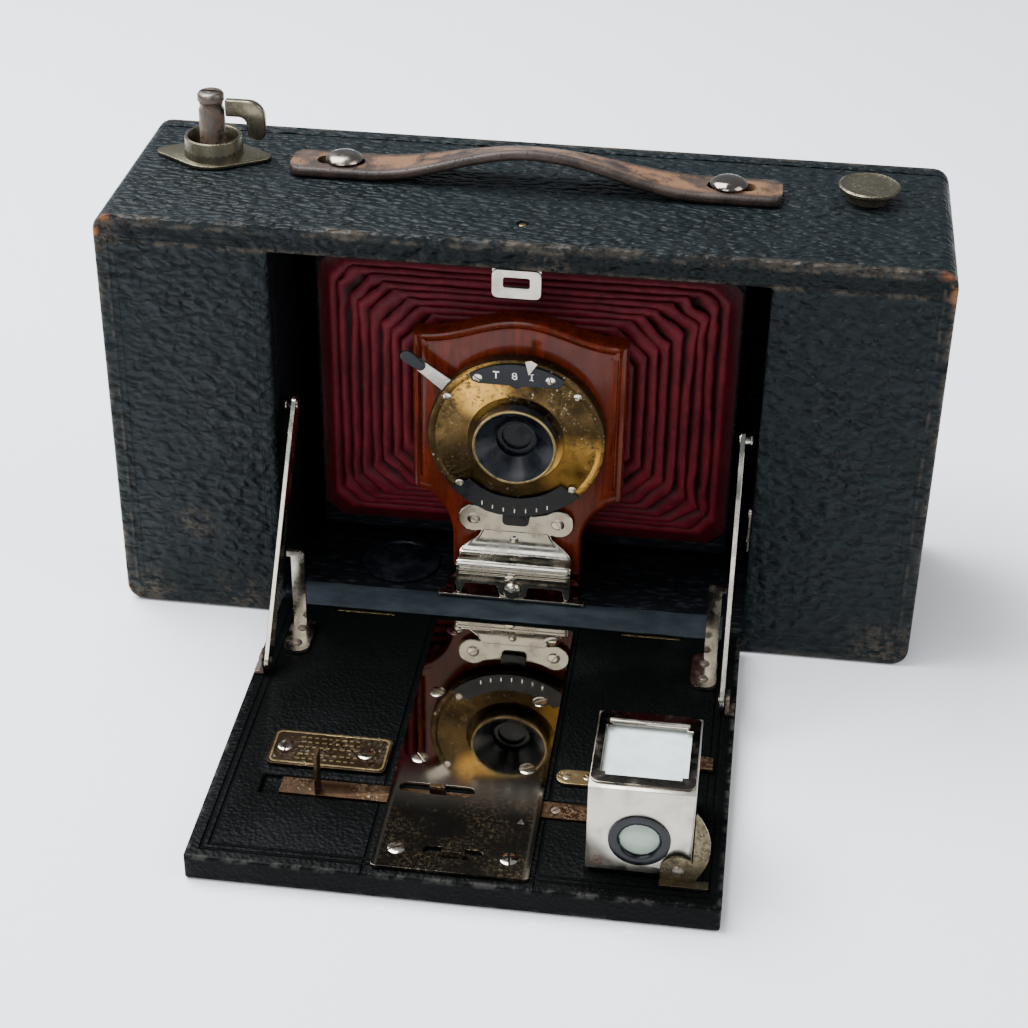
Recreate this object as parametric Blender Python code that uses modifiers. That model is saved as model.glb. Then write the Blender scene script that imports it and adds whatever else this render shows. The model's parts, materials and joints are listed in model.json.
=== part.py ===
"""Horizontal folding-bed roll-film camera: leather-covered wooden case, drop bed, sliding lens standard.

Metres in the scene, millimetres in this source. +X to the right seen from the front, +Y to the
back, +Z up. The origin is the centre of the case's underside, on the table.
"""
import math

import bmesh
import bpy
from mathutils import Matrix, Vector

MM = 0.001
GAP = 0.3

# Case
CASE_HALF = 108.0
CASE_H = 117.5
CASE_D = 63.5
FRONT = -CASE_D / 2
FLOOR_T = 7.0
ROOF_Z = 110.0
WALL_T = 6.5
BACK_T = 4.2
CORNER_R = 4.5
OPEN_HALF = 63.3
CHAMBER_WALL_T = 5.0
GATE_D = 51.0
GATE_T = 3.0
FRAME_HALF_X = 54.0
FRAME_Z = (17.0, 99.6)

# Optical axis and film spools
AXIS_Z = 58.0
SPOOL_X = 86.0
SPOOL_D = 40.0
SPOOL_LENGTH = 93.5
SPOOL_Z = 12.0
KEY_TOP = 136.0

# Carrying strap
STRAP_D = (30.0, 43.0)
STRAP_REACH = 64.0
STRAP_ARCH = 44.0
STRAP_T = 2.6
STRAP_RISE = 8.4
STUD_X = 50.2

# Drop bed
BED_HALF = 63.0
BED_LENGTH = 109.5
HINGE = (-1.8, 6.6)
HINGE_SPAN = (31.0, 47.0)
KNUCKLE_SPAN = (36.0, 42.0)
KNUCKLE_R = 0.6
LEAF_Z = (5.9, 6.5)
POCKET_Z = 5.6
BED_TOP = 7.0
TRACK_X = -0.4
TRACK_HALF = 18.6
TRACK_Z = (7.3, 8.1)

# Struts: lower pivot on the bed, upper rivet free in the case
STRUT_X = (58.6, 59.8)
STRUT_LOW = (-36.0, 10.5)
STRUT_TOP = (7.0, 63.0)

# Lens standard
BOARD_HALF = 28.2
BOARD_D = (10.0, 15.5)
WAIST_HALF = 17.5
SHUTTER_R = 23.6
SHUTTER_D = (5.7, 9.7)

# Finder
FINDER_X = (30.7, 55.2)
FINDER_Y = (-101.2, -73.0)
FINDER_Z = (8.4, 32.6)
FINDER_LENS = (43.0, 18.0)
FINDER_PIVOT = (52.3, 11.0)

PARTS = "folding_bed_camera"
CUTTERS = "cutters"


def deep(d):
    """World Y in millimetres of a plane d behind the case's front face."""
    return FRONT + d


def vec(x, y, z):
    return Vector((x * MM, y * MM, z * MM))


# ---------------------------------------------------------------- scene helpers

def clear_scene():
    for obj in list(bpy.data.objects):
        bpy.data.objects.remove(obj, do_unlink=True)


def collection(name):
    found = bpy.data.collections.get(name)
    if found is None:
        found = bpy.data.collections.new(name)
        bpy.context.scene.collection.children.link(found)
    return found


def material(name, color, roughness, metallic=0.0):
    found = bpy.data.materials.get(name)
    if found is None:
        found = bpy.data.materials.new(name)
        found.use_nodes = True
        shader = found.node_tree.nodes["Principled BSDF"]
        shader.inputs["Base Color"].default_value = (*color, 1.0)
        shader.inputs["Roughness"].default_value = roughness
        shader.inputs["Metallic"].default_value = metallic
    return found


PALETTE = {
    "leather": ((0.035, 0.04, 0.045), 0.6, 0.0),
    "black_wood": ((0.012, 0.012, 0.013), 0.6, 0.0),
    "mahogany": ((0.27, 0.06, 0.02), 0.25, 0.0),
    "bellows_leather": ((0.16, 0.01, 0.035), 0.55, 0.0),
    "strap_leather": ((0.07, 0.04, 0.025), 0.55, 0.0),
    "nickel": ((0.72, 0.71, 0.68), 0.18, 1.0),
    "brass": ((0.42, 0.29, 0.1), 0.38, 1.0),
    "black_enamel": ((0.01, 0.012, 0.015), 0.3, 0.0),
    "steel": ((0.3, 0.27, 0.23), 0.45, 1.0),
    "glass": ((0.75, 0.8, 0.8), 0.05, 0.0),
    "ground_glass": ((0.75, 0.82, 0.8), 0.5, 0.0),
    "mirror": ((0.85, 0.86, 0.86), 0.03, 1.0),
    "spool_wood": ((0.4, 0.26, 0.13), 0.6, 0.0),
    "ruby_glass": ((0.35, 0.01, 0.01), 0.15, 0.0),
    "bush_black": ((0.03, 0.03, 0.03), 0.4, 0.6),
}


def finish(obj, finish_name, smooth=False):
    """Gives the piece its material and puts it in the parts collection."""
    color, roughness, metallic = PALETTE[finish_name]
    obj.data.materials.clear()
    obj.data.materials.append(material(finish_name, color, roughness, metallic))
    for owner in list(obj.users_collection):
        owner.objects.unlink(obj)
    collection(PARTS).objects.link(obj)
    if smooth:
        obj.data.shade_smooth()
        obj.data.set_sharp_from_angle(angle=math.radians(40))
    return obj


def as_cutter(obj):
    """Moves a tool body to the cutters' collection, out of the part."""
    for owner in list(obj.users_collection):
        owner.objects.unlink(obj)
    collection(CUTTERS).objects.link(obj)
    obj.hide_render = True
    obj.display_type = "WIRE"
    return obj


def combine(obj, tool, operation):
    modifier = obj.modifiers.new(operation.lower(), "BOOLEAN")
    modifier.operation = operation
    modifier.solver = "EXACT"
    modifier.object = as_cutter(tool)
    return obj


def cut(obj, *tools):
    for tool in tools:
        combine(obj, tool, "DIFFERENCE")
    return obj


def join(obj, *tools):
    for tool in tools:
        combine(obj, tool, "UNION")
    return obj


def new_object(name, mesh):
    obj = bpy.data.objects.new(name, mesh)
    bpy.context.scene.collection.objects.link(obj)
    return obj


# ---------------------------------------------------------------- shapes

def box(name, x, y, z):
    """A block between two limits on each axis."""
    mesh = bpy.data.meshes.new(name)
    bm = bmesh.new()
    bmesh.ops.create_cube(bm, size=1.0)
    size = Vector((x[1] - x[0], y[1] - y[0], z[1] - z[0])) * MM
    bmesh.ops.scale(bm, vec=size, verts=bm.verts)
    bm.to_mesh(mesh)
    bm.free()
    obj = new_object(name, mesh)
    obj.location = vec(sum(x) / 2, sum(y) / 2, sum(z) / 2)
    return obj


AXIS_TURN = {
    "X": Matrix.Rotation(math.radians(90), 4, "Y"),
    "Y": Matrix.Rotation(math.radians(-90), 4, "X"),
    "Z": Matrix.Identity(4),
}


def rod(name, axis, centre, radius, length, segments=24):
    """A cylinder along X, Y or Z about a centre."""
    mesh = bpy.data.meshes.new(name)
    bm = bmesh.new()
    bmesh.ops.create_cone(bm, cap_ends=True, segments=segments, radius1=radius * MM,
                          radius2=radius * MM, depth=length * MM, matrix=AXIS_TURN[axis])
    bm.to_mesh(mesh)
    bm.free()
    obj = new_object(name, mesh)
    obj.location = vec(*centre)
    return obj


def turned(name, axis, centre, profile, segments=32):
    """A closed (radius, height) profile turned about an axis through the centre."""
    mesh = bpy.data.meshes.new(name)
    bm = bmesh.new()
    verts = [bm.verts.new((r * MM, 0.0, h * MM)) for r, h in profile]
    for i, vert in enumerate(verts):
        after = verts[(i + 1) % len(verts)]
        if vert.co.x > 0 or after.co.x > 0:
            bm.edges.new((vert, after))
    bm.to_mesh(mesh)
    bm.free()
    spinner = new_object(name + "_profile", mesh)
    screw = spinner.modifiers.new("turn", "SCREW")
    screw.steps = screw.render_steps = segments
    screw.use_merge_vertices = True
    screw.merge_threshold = 0.00001
    obj = to_mesh(spinner, name)
    obj.data.transform(AXIS_TURN[axis])
    obj.location = vec(*centre)
    return obj


def to_mesh(source, name):
    """The evaluated shape of an object as a welded mesh with its faces pointing out."""
    bpy.context.view_layer.update()
    depsgraph = bpy.context.evaluated_depsgraph_get()
    mesh = bpy.data.meshes.new_from_object(source.evaluated_get(depsgraph))
    bm = bmesh.new()
    bm.from_mesh(mesh)
    bmesh.ops.remove_doubles(bm, verts=bm.verts, dist=0.000005)
    bmesh.ops.recalc_face_normals(bm, faces=bm.faces)
    bm.to_mesh(mesh)
    bm.free()
    matrix = source.matrix_world.copy()
    bpy.data.objects.remove(source, do_unlink=True)
    obj = new_object(name, mesh)
    obj.matrix_world = matrix
    return obj


PLANE_TURN = {
    "Z": Matrix.Identity(4),
    "Y": Matrix(((1, 0, 0, 0), (0, 0, 1, 0), (0, 1, 0, 0), (0, 0, 0, 1))),
    "X": Matrix(((0, 0, 1, 0), (1, 0, 0, 0), (0, 1, 0, 0), (0, 0, 0, 1))),
}


def plate(name, axis, span, *outlines):
    """Flat outlines, the first the edge and any others holes, given depth between two limits.

    Outline points are (x, y) for axis Z, (x, z) for axis Y and (y, z) for axis X.
    """
    curve = bpy.data.curves.new(name + "_outline", "CURVE")
    curve.dimensions = "2D"
    curve.fill_mode = "BOTH"
    curve.extrude = (span[1] - span[0]) / 2 * MM
    for outline in outlines:
        spline = curve.splines.new("POLY")
        spline.points.add(len(outline) - 1)
        for point, (u, v) in zip(spline.points, outline):
            point.co = (u * MM, v * MM, 0.0, 1.0)
        spline.use_cyclic_u = True
    obj = to_mesh(new_object(name + "_outline", curve), name)
    obj.data.transform(Matrix.Translation((0, 0, sum(span) / 2 * MM)))
    obj.data.transform(PLANE_TURN[axis])
    bm = bmesh.new()
    bm.from_mesh(obj.data)
    bmesh.ops.recalc_face_normals(bm, faces=bm.faces)
    bm.to_mesh(obj.data)
    bm.free()
    return recentre(obj)


def recentre(obj):
    """Moves an object's origin to the middle of its mesh."""
    corners = [Vector(corner) for corner in obj.bound_box]
    middle = sum(corners, Vector()) / 8
    obj.data.transform(Matrix.Translation(-middle))
    obj.location = obj.location + middle
    return obj


def arc(centre, radius, start, end, steps):
    """Points on a circle, angles in degrees."""
    points = []
    for i in range(steps + 1):
        angle = math.radians(start + (end - start) * i / steps)
        points.append((centre[0] + radius * math.cos(angle), centre[1] + radius * math.sin(angle)))
    return points


def rounded(u, v, radius, steps=4):
    """A rectangle's outline with round corners."""
    corners = ((u[1], v[1], 0), (u[0], v[1], 90), (u[0], v[0], 180), (u[1], v[0], 270))
    points = []
    for cu, cv, start in corners:
        centre = (cu - math.copysign(radius, cu - sum(u) / 2), cv - math.copysign(radius, cv - sum(v) / 2))
        points += arc(centre, radius, start, start + 90, steps)
    return points


def mirrored(points):
    """Closes a half outline, given from bottom to top at +u, with its mirror image."""
    return points + [(-u, v) for u, v in reversed(points) if abs(u) > 1e-6]


def pivot(name, location):
    """An empty on a joint's axis, to hold the pieces that move there."""
    empty = bpy.data.objects.new(name, None)
    empty.empty_display_size = 0.01
    empty.location = vec(*location)
    collection(PARTS).objects.link(empty)
    return empty


def attach(parent, *objs):
    bpy.context.view_layer.update()
    for obj in objs:
        obj.parent = parent
        obj.matrix_parent_inverse = parent.matrix_world.inverted()


# ---------------------------------------------------------------- case

def case_outline(z_low, z_high, round_low, round_high):
    """A board across the case's full width, its outer corners round as on the front view."""
    right = []
    if round_low:
        right += arc((CASE_HALF - CORNER_R, z_low + CORNER_R), CORNER_R, -90, 0, 5)
    else:
        right.append((CASE_HALF, z_low))
    if round_high:
        right += arc((CASE_HALF - CORNER_R, z_high - CORNER_R), CORNER_R, 0, 90, 5)
    else:
        right.append((CASE_HALF, z_high))
    return mirrored(right)


def case_boards():
    back_face = deep(CASE_D - BACK_T - GAP)
    top = plate("case_top_board", "Y", (FRONT, back_face), case_outline(ROOF_Z, CASE_H, False, True))
    holes = [rod("key_hole", "Z", (-SPOOL_X, deep(SPOOL_D), CASE_H), 4.2, 30),
             rod("knob_hole", "Z", (SPOOL_X, deep(SPOOL_D), CASE_H), 2.6, 30),
             rod("release_hole", "Z", (0, deep(11.9), CASE_H), 1.6, 30)]
    cut(finish(top, "leather"), *holes)

    bottom = plate("case_bottom_board", "Y", (FRONT, back_face),
                   case_outline(0.0, FLOOR_T, True, False))
    pocket = box("hinge_pocket", (-47.3, 47.3), (FRONT - 5, deep(6.3)), (POCKET_Z, 20))
    bush_hole = rod("bush_hole", "Z", (-33.5, deep(19), 0), 7.9, 40)
    pins = [rod("spool_pin", "Z", (side * SPOOL_X, deep(SPOOL_D), 10), 1.8, 9, 16) for side in (-1, 1)]
    cut(finish(bottom, "leather"), pocket, bush_hole)
    join(bottom, *pins)

    upright_z = (FLOOR_T + GAP, ROOF_Z - GAP)
    for side, word in ((-1, "left"), (1, "right")):
        outer, inner = side * CASE_HALF, side * (CASE_HALF - WALL_T)
        end = box(f"case_end_{word}", sorted((outer, inner)), (FRONT, back_face), upright_z)
        finish(end, "leather")
        panel = box(f"front_panel_{word}", sorted((inner - side * GAP, side * OPEN_HALF)),
                    (FRONT, deep(6.0)), upright_z)
        finish(panel, "leather")
        wall_out = side * (OPEN_HALF + CHAMBER_WALL_T)
        wall = box(f"chamber_wall_{word}", sorted((side * OPEN_HALF, wall_out)),
                   (deep(6.0 + GAP), deep(GATE_D - GAP)), upright_z)
        finish(wall, "black_wood")

    gate = plate("film_gate", "Y", (deep(GATE_D), deep(GATE_D + GATE_T)),
                 rounded((-68.0, 68.0), upright_z, 0.5, 1),
                 rounded((-FRAME_HALF_X, FRAME_HALF_X), FRAME_Z, 1.5, 2))
    finish(gate, "black_wood")


def back_cover():
    """The back, hinged along its bottom edge, with the ruby window and its catch."""
    hinge = pivot("back_hinge_axis", (0, deep(CASE_D), 0))
    cover = plate("back_cover", "Y", (deep(CASE_D - BACK_T), deep(CASE_D)),
                  case_outline(0.0, CASE_H, True, True))
    cut(finish(cover, "leather"), rod("window_hole", "Y", (20, deep(CASE_D), AXIS_Z), 6.4, 20))
    window = rod("red_window", "Y", (20, deep(CASE_D - BACK_T + 1.6), AXIS_Z), 6.0, 1.2)
    finish(window, "ruby_glass", True)
    catch = plate("back_catch", "Y", (deep(CASE_D + GAP), deep(CASE_D + GAP + 1.1)),
                  rounded((-8.5, 8.5), (99, 113), 2.0))
    join(catch, rod("catch_button", "Y", (0, deep(CASE_D + 1.6), 104), 2.6, 1.8, 20))
    finish(catch, "brass")
    attach(hinge, cover, window)
    slide = pivot("back_catch_slide", (0, deep(CASE_D + 0.8), 106))
    attach(hinge, slide)
    attach(slide, catch)


def film_path():
    """Rollers, spools, winding key and spool knob."""
    for side, word in ((-1, "left"), (1, "right")):
        roller = turned(f"film_roller_{word}", "Z", (side * 72.2, deep(52.6), 0),
                        [(0, 108.6), (0.9, 108.6), (0.9, 105.5), (2.2, 105.5), (2.2, 11.5),
                         (0.9, 11.5), (0.9, 8.2), (0, 8.2)], 16)
        finish(roller, "steel", True)
        spool_name = "takeup_spool" if side < 0 else "supply_spool"
        top = SPOOL_Z + SPOOL_LENGTH
        spool = turned(spool_name, "Z", (side * SPOOL_X, deep(SPOOL_D), 0),
                       [(2.2, top), (12.0, top), (12.0, top - 1.2), (5.2, top - 1.2),
                        (5.2, SPOOL_Z + 1.2), (12.0, SPOOL_Z + 1.2), (12.0, SPOOL_Z),
                        (2.2, SPOOL_Z)], 28)
        finish(spool, "spool_wood", True)

    flange = eye_outline((-SPOOL_X, deep(SPOOL_D)), 15.4, 9.6, 2.6)
    collar = plate("key_collar", "Z", (CASE_H + GAP, CASE_H + 1.2), flange)
    cup = turned("collar_cup", "Z", (-SPOOL_X, deep(SPOOL_D), CASE_H + GAP),
                 [(4.0, 0.0), (4.0, 1.0), (6.5, 1.2), (6.7, 6.0), (7.5, 6.0), (7.8, 0.0)], 28)
    cut(collar, rod("collar_hole", "Z", (-SPOOL_X, deep(SPOOL_D), CASE_H), 6.0, 10))
    finish(join(collar, cup), "brass")

    head = KEY_TOP
    key = turned("winding_key", "Z", (-SPOOL_X, deep(SPOOL_D), 0),
                 [(0, head), (2.6, head), (3.5, head - 0.9), (3.5, head - 2.6), (3.1, head - 3.0),
                  (3.1, head - 4.4), (3.5, head - 5.0), (3.5, 108.5), (1.9, 107.5), (1.9, 96),
                  (0, 96)], 24)
    finish(key, "steel", True)
    wing = plate("key_wing", "Y", (deep(SPOOL_D) - 1.1, deep(SPOOL_D) + 1.1),
                 wing_outline(-SPOOL_X + 3.5 + GAP, head - 2.0))
    finish(wing, "brass")
    turn = pivot("winding_key_axis", (-SPOOL_X, deep(SPOOL_D), CASE_H))
    attach(turn, key, wing)

    knob = turned("spool_knob", "Z", (SPOOL_X, deep(SPOOL_D), 0),
                  [(0, 121.9), (7.2, 121.9), (7.9, 121.4), (7.9, 120.6), (5.6, 120.2),
                   (5.6, 117.9), (2.3, 117.9), (2.3, 108.5), (1.9, 107.5), (1.9, 98), (0, 98)], 28)
    finish(knob, "nickel", True)


def eye_outline(centre, half_long, half_wide, tip_r):
    """A two-eared flange: a round body drawn out to a small round tip at each end."""
    points = []
    for side in (1, -1):
        tip = (centre[0] + side * (half_long - tip_r), centre[1])
        start = -60 if side > 0 else 120
        points += arc(tip, tip_r, start, start + 120, 5)
        body_start = 62 if side > 0 else 242
        points += arc(centre, half_wide, body_start, body_start + 56, 6)
    return points


def wing_outline(x, z_top):
    """The key's finger wing: out from the head, round, and down."""
    outer = [(x, z_top - 4.6), (x, z_top)] + arc((x + 6.2, z_top - 4.4), 4.4, 90, 0, 6)
    foot = arc((x + 8.1, z_top - 8.4), 2.5, 0, -180, 6)
    inner = arc((x + 3.6, z_top - 6.6), 2.0, 0, 90, 4)
    return outer + foot + inner


def carry_handle():
    """A leather strap with slotted ends, held by two headed studs."""
    mesh = bpy.data.meshes.new("carry_handle")
    bm = bmesh.new()
    bmesh.ops.create_grid(bm, x_segments=28, y_segments=1, size=1.0)
    for vert in bm.verts:
        x = vert.co.x * STRAP_REACH
        arch = STRAP_RISE * (0.5 + 0.5 * math.cos(math.pi * x / STRAP_ARCH))
        lift = arch if abs(x) < STRAP_ARCH else 0.0
        vert.co = vec(x, deep(sum(STRAP_D) / 2) + vert.co.y * (STRAP_D[1] - STRAP_D[0]) / 2,
                      CASE_H + GAP + lift)
    bm.to_mesh(mesh)
    bm.free()
    sheet = new_object("strap_sheet", mesh)
    thickness = sheet.modifiers.new("thickness", "SOLIDIFY")
    thickness.thickness = STRAP_T * MM
    thickness.offset = 1.0
    strap = to_mesh(sheet, "carry_handle")
    middle = sum(STRAP_D) / 2
    for side, word in ((-1, "left"), (1, "right")):
        slot = plate("strap_slot", "Z", (CASE_H - 2, CASE_H + 8),
                     rounded(sorted((side * 44.6, side * 57.3)), (deep(middle - 2.7), deep(middle + 2.7)),
                             2.4, 4))
        cut(strap, slot)
        stud = turned(f"handle_stud_{word}", "Z", (side * STUD_X, deep(middle), 0),
                      [(0, 123.0), (3.6, 122.8), (4.85, 122.0), (4.85, 120.8), (2.2, 120.8),
                       (2.2, CASE_H + GAP), (0, CASE_H + GAP)], 20)
        finish(stud, "steel", True)
    finish(strap, "strap_leather")


def tripod_socket():
    """A flanged bush in the floor, threaded from below for a tripod screw."""
    bush = turned("tripod_socket", "Z", (-33.5, deep(19), 0),
                  [(0, 8.3), (9.6, 8.3), (10.8, 7.9), (10.8, 7.3), (7.5, 7.3), (7.5, 0.4),
                   (3.2, 0.4), (3.2, 6.3), (0, 6.3)], 28)
    finish(bush, "bush_black", True)


# ---------------------------------------------------------------- bed catch

def bed_catch():
    """The bail under the lintel that holds the closed bed, and the pin that frees it."""
    top_z = ROOF_Z - 0.4
    arm = box("catch_bail", (-3.0, 3.0), (deep(4.0), deep(22.0)), (top_z - 0.8, top_z))
    hoop = plate("bail_hoop", "Y", (deep(1.0), deep(2.2)),
                 rounded((-6.2, 6.2), (101.9, top_z), 1.4, 3), rounded((-3.4, 3.4), (104.8, 107.6), 0.4, 1))
    shelf = box("bail_shelf", (-6.2, 6.2), (deep(1.6), deep(6.0)), (top_z - 0.8, top_z))
    join(arm, hoop, shelf)
    finish(arm, "nickel")
    attach(pivot("catch_bail_axis", (0, deep(22), top_z - 0.4)), arm)
    pin = turned("release_pin", "Z", (0, deep(11.9), 0),
                 [(0, 117.2), (0.8, 117.2), (1.1, 116.9), (1.1, 109.95), (0, 109.95)], 16)
    finish(pin, "brass", True)


# ---------------------------------------------------------------- bed

def bed(hinge):
    board = box("bed_board", (-BED_HALF, BED_HALF), (deep(-BED_LENGTH), deep(-1.9)), (0.0, BED_TOP))
    groove = box("bar_groove", (-50.8, 34.3), (deep(-84.0), deep(-77.0)), (5.4, 9))
    cut(finish(board, "black_wood"), groove)
    for side in (-1, 1):
        pocket = box("leaf_pocket", sorted((side * 30.7, side * 47.3)), (deep(-6.3), deep(2)), (POCKET_Z, 9))
        cut(board, pocket)

    slots = [rounded((-17.0, 1.6), (deep(-80.4), deep(-76.6)), 1.9),
             rounded((-7.6, 6.8), (deep(-102.4), deep(-98.9)), 1.7)]
    track = plate("track_plate", "Z", TRACK_Z,
                  rounded((TRACK_X - TRACK_HALF, TRACK_X + TRACK_HALF), (deep(-107.3), deep(-8.2)), 1.0, 2),
                  *slots)
    tab_y = (deep(-102.2), deep(-100.4))
    join(track, box("tab_bridge", (-8.2, 7.4), tab_y, (TRACK_Z[0], 7.7)),
         box("tab_nose", (-2.8, 2.6), tab_y, (7.5, 9.8)))
    attach(hinge, board, finish(track, "nickel"))

    for side, word in ((-1, "left"), (1, "right")):
        attach(hinge, hinge_leaf(side, word), strut_guide(side, word), strut_lug(side, word))
    attach(hinge, scale_plate(), finder_bracket())


def hinge_leaf(side, word):
    """The bed's half of one butt hinge: a leaf with two outer knuckles."""
    low, high = HINGE_SPAN
    leaf = box(f"bed_hinge_{word}", sorted((side * low, side * high)), (deep(-6.0), deep(-2.8)), LEAF_Z)
    for start, end in ((low, KNUCKLE_SPAN[0] - GAP), (KNUCKLE_SPAN[1] + GAP, high)):
        span = sorted((side * start, side * end))
        tongue = box("tongue", span, (deep(-3.4), deep(-2.0)), LEAF_Z)
        knuckle = rod("knuckle", "X", (sum(span) / 2, deep(HINGE[0]), HINGE[1]), KNUCKLE_R, end - start, 16)
        join(leaf, tongue, knuckle)
    return finish(leaf, "brass")


def case_hinge():
    """The case's hinge plate, one strip with a middle knuckle for each butt."""
    strip = box("hinge_plate", (-HINGE_SPAN[1], HINGE_SPAN[1]), (deep(0.4), deep(6.0)), LEAF_Z)
    for side in (-1, 1):
        span = sorted((side * KNUCKLE_SPAN[0], side * KNUCKLE_SPAN[1]))
        tongue = box("tongue", span, (deep(-1.6), deep(1.0)), LEAF_Z)
        knuckle = rod("knuckle", "X", (sum(span) / 2, deep(HINGE[0]), HINGE[1]), KNUCKLE_R,
                      span[1] - span[0], 16)
        join(strip, tongue, knuckle)
    return finish(strip, "brass")


def hinge_cover():
    """The leather strip laid over the hinge, from the bed to the case's floor."""
    strip = box("hinge_cover", (-57.8, 57.8), (deep(-5.5), deep(5.3)), (7.35, 7.75))
    return finish(strip, "leather")


def strut_guide(side, word):
    """A standing bracket beside the strut: round foot, post and a top arm turned to the strut."""
    inner, outer = side * 53.6, side * 57.1
    foot = plate(f"strut_guide_{word}", "Z", (TRACK_Z[0], 8.3),
                 rounded(sorted((side * 50.6, side * 57.4)), (deep(-28.2), deep(-13.4)), 2.8))
    post = box("post", sorted((inner, outer)), (deep(-14.8), deep(-13.6)), (7.8, 30.6))
    arm = box("arm", sorted((inner, side * 58.2)), (deep(-14.8), deep(-13.6)), (29.0, 30.6))
    join(foot, post, arm)
    return finish(foot, "nickel")


def strut_lug(side, word):
    """The bed's pivot for a strut: a small plate outside the blade, with its pin."""
    base = box(f"strut_lug_{word}", sorted((side * 60.2, side * 62.6)),
               (deep(STRUT_LOW[0] - 2.2), deep(STRUT_LOW[0] + 2.2)), (TRACK_Z[0], 8.2))
    cheek = box("cheek", sorted((side * 60.2, side * 61.2)),
                (deep(STRUT_LOW[0] - 2.2), deep(STRUT_LOW[0] + 2.2)), (7.6, 12.6))
    pin = rod("pin", "X", (side * 59.6, deep(STRUT_LOW[0]), STRUT_LOW[1]), 0.8, 2.6, 14)
    join(base, cheek, pin)
    return finish(base, "steel")


def strut(side, word):
    """A flat blade between two round eyes, with a rivet at the top."""
    low, top = Vector(STRUT_LOW), Vector(STRUT_TOP)
    along = math.degrees(math.atan2(top.y - low.y, top.x - low.x))
    outline = arc(low, 2.6, along + 90, along + 270, 8) + arc(top, 3.0, along - 90, along + 90, 8)
    outline = [(deep(d), z) for d, z in outline]
    hole = [(deep(d), z) for d, z in arc(low, 1.1, 0, 330, 11)]
    blade = plate(f"strut_{word}", "X", sorted((side * STRUT_X[0], side * STRUT_X[1])), outline, hole)
    rivet = rod("rivet", "X", (side * 60.0, deep(top.x), top.y), 1.6, 3.4, 16)
    join(blade, rivet)
    finish(blade, "nickel")
    attach(pivot(f"strut_axis_{word}", (side * 59.2, deep(low.x), low.y)), blade)
    return blade


def scale_plate():
    """The focusing scale, a small plate with round corners."""
    plate_obj = plate("focus_scale", "Z", (TRACK_Z[0], 8.0),
                      rounded((-51.4, -21.4), (deep(-74.2), deep(-60.8)), 1.6, 3))
    return finish(plate_obj, "brass")


def focus_bar():
    """The cross bar under the track plate, with its pointer at the scale and its finger in the slot."""
    bar = box("focus_bar", (-46.0, 29.5), (deep(-83.4), deep(-77.6)), (5.8, 6.8))
    pointer = box("pointer", (-37.0, -36.2), (deep(-83.2), deep(-79.4)), (6.4, 18.4))
    finger = box("finger", (-9.4, -5.6), (deep(-79.2), deep(-77.9)), (6.4, 9.4))
    join(bar, pointer, finger)
    finish(bar, "brass")
    attach(pivot("focus_bar_axis", (-7.5, deep(-80.5), 6.3)), bar)


# ---------------------------------------------------------------- finder

def finder_bracket():
    """The finder's pivot bracket: base, ear with the pivot pin, and the arched stop plate."""
    front, rear = -102.5, -101.9
    base = box("finder_bracket", (48.2, 59.6), (deep(-104.4), deep(rear)), (TRACK_Z[0], 8.0))
    ear = plate("ear", "Y", (deep(front), deep(rear)),
                [(56.5, 7.6)] + arc(FINDER_PIVOT, 4.2, 0, 180, 10) + [(48.3, 7.6)])
    rise = arc(FINDER_LENS, 16.4, -39, 39, 12)
    shield = plate("shield", "Y", (deep(front), deep(rear)), [(55.6, 7.6)] + rise + [(55.6, 28.3)])
    pin = rod("pivot_pin", "Y", (FINDER_PIVOT[0], deep(-101.2), FINDER_PIVOT[1]), 0.9, 2.2, 14)
    join(base, ear, shield, pin)
    return finish(base, "brass")


def finder():
    """The swivelling reflecting finder: box, lens, mirror and ground glass."""
    x, y, z = FINDER_X, FINDER_Y, FINDER_Z
    body = box("finder_body", x, (deep(y[0]), deep(y[1])), z)
    hollow = box("hollow", (x[0] + 0.8, x[1] - 0.8), (deep(y[0] + 0.9), deep(y[1] - 0.9)),
                 (z[0] + 0.8, z[1] - 0.8))
    window = box("window", (x[0] + 2.6, x[1] - 2.2), (deep(-96.4), deep(-77.2)), (z[1] - 2, z[1] + 2))
    lens_hole = rod("lens_hole", "Y", (FINDER_LENS[0], deep(y[0]), FINDER_LENS[1]), 6.9, 5)
    pin_hole = rod("pin_hole", "Y", (FINDER_PIVOT[0], deep(y[0]), FINDER_PIVOT[1]), 1.2, 5, 16)
    cut(finish(body, "nickel"), hollow, window, lens_hole, pin_hole)

    lens = turned("finder_lens", "Y", (FINDER_LENS[0], deep(y[0]), FINDER_LENS[1]),
                  [(0, 1.6), (6.5, 1.4), (6.5, -0.3), (7.2, -0.3), (7.2, -0.55), (4.9, -0.55),
                   (4.6, -0.1), (2.4, -0.4), (0, -0.5)], 28)
    finish(lens, "black_enamel", True)
    glass = box("finder_glass", (x[0] + 1.2, x[1] - 1.2), (deep(-99.6), deep(-74.6)),
                (z[1] - 1.8, z[1] - 1.1))
    finish(glass, "ground_glass")
    mirror = box("finder_mirror", (x[0] + 1.4, x[1] - 1.4), (-12.4 - 87.2 + FRONT, 12.4 - 87.2 + FRONT),
                 (19.6, 20.2))
    mirror.rotation_euler = (math.radians(45), 0, 0)
    finish(mirror, "mirror")
    attach(pivot("finder_axis", (FINDER_PIVOT[0], deep(y[0]), FINDER_PIVOT[1])),
           body, lens, glass, mirror)


# ---------------------------------------------------------------- bellows

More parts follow.
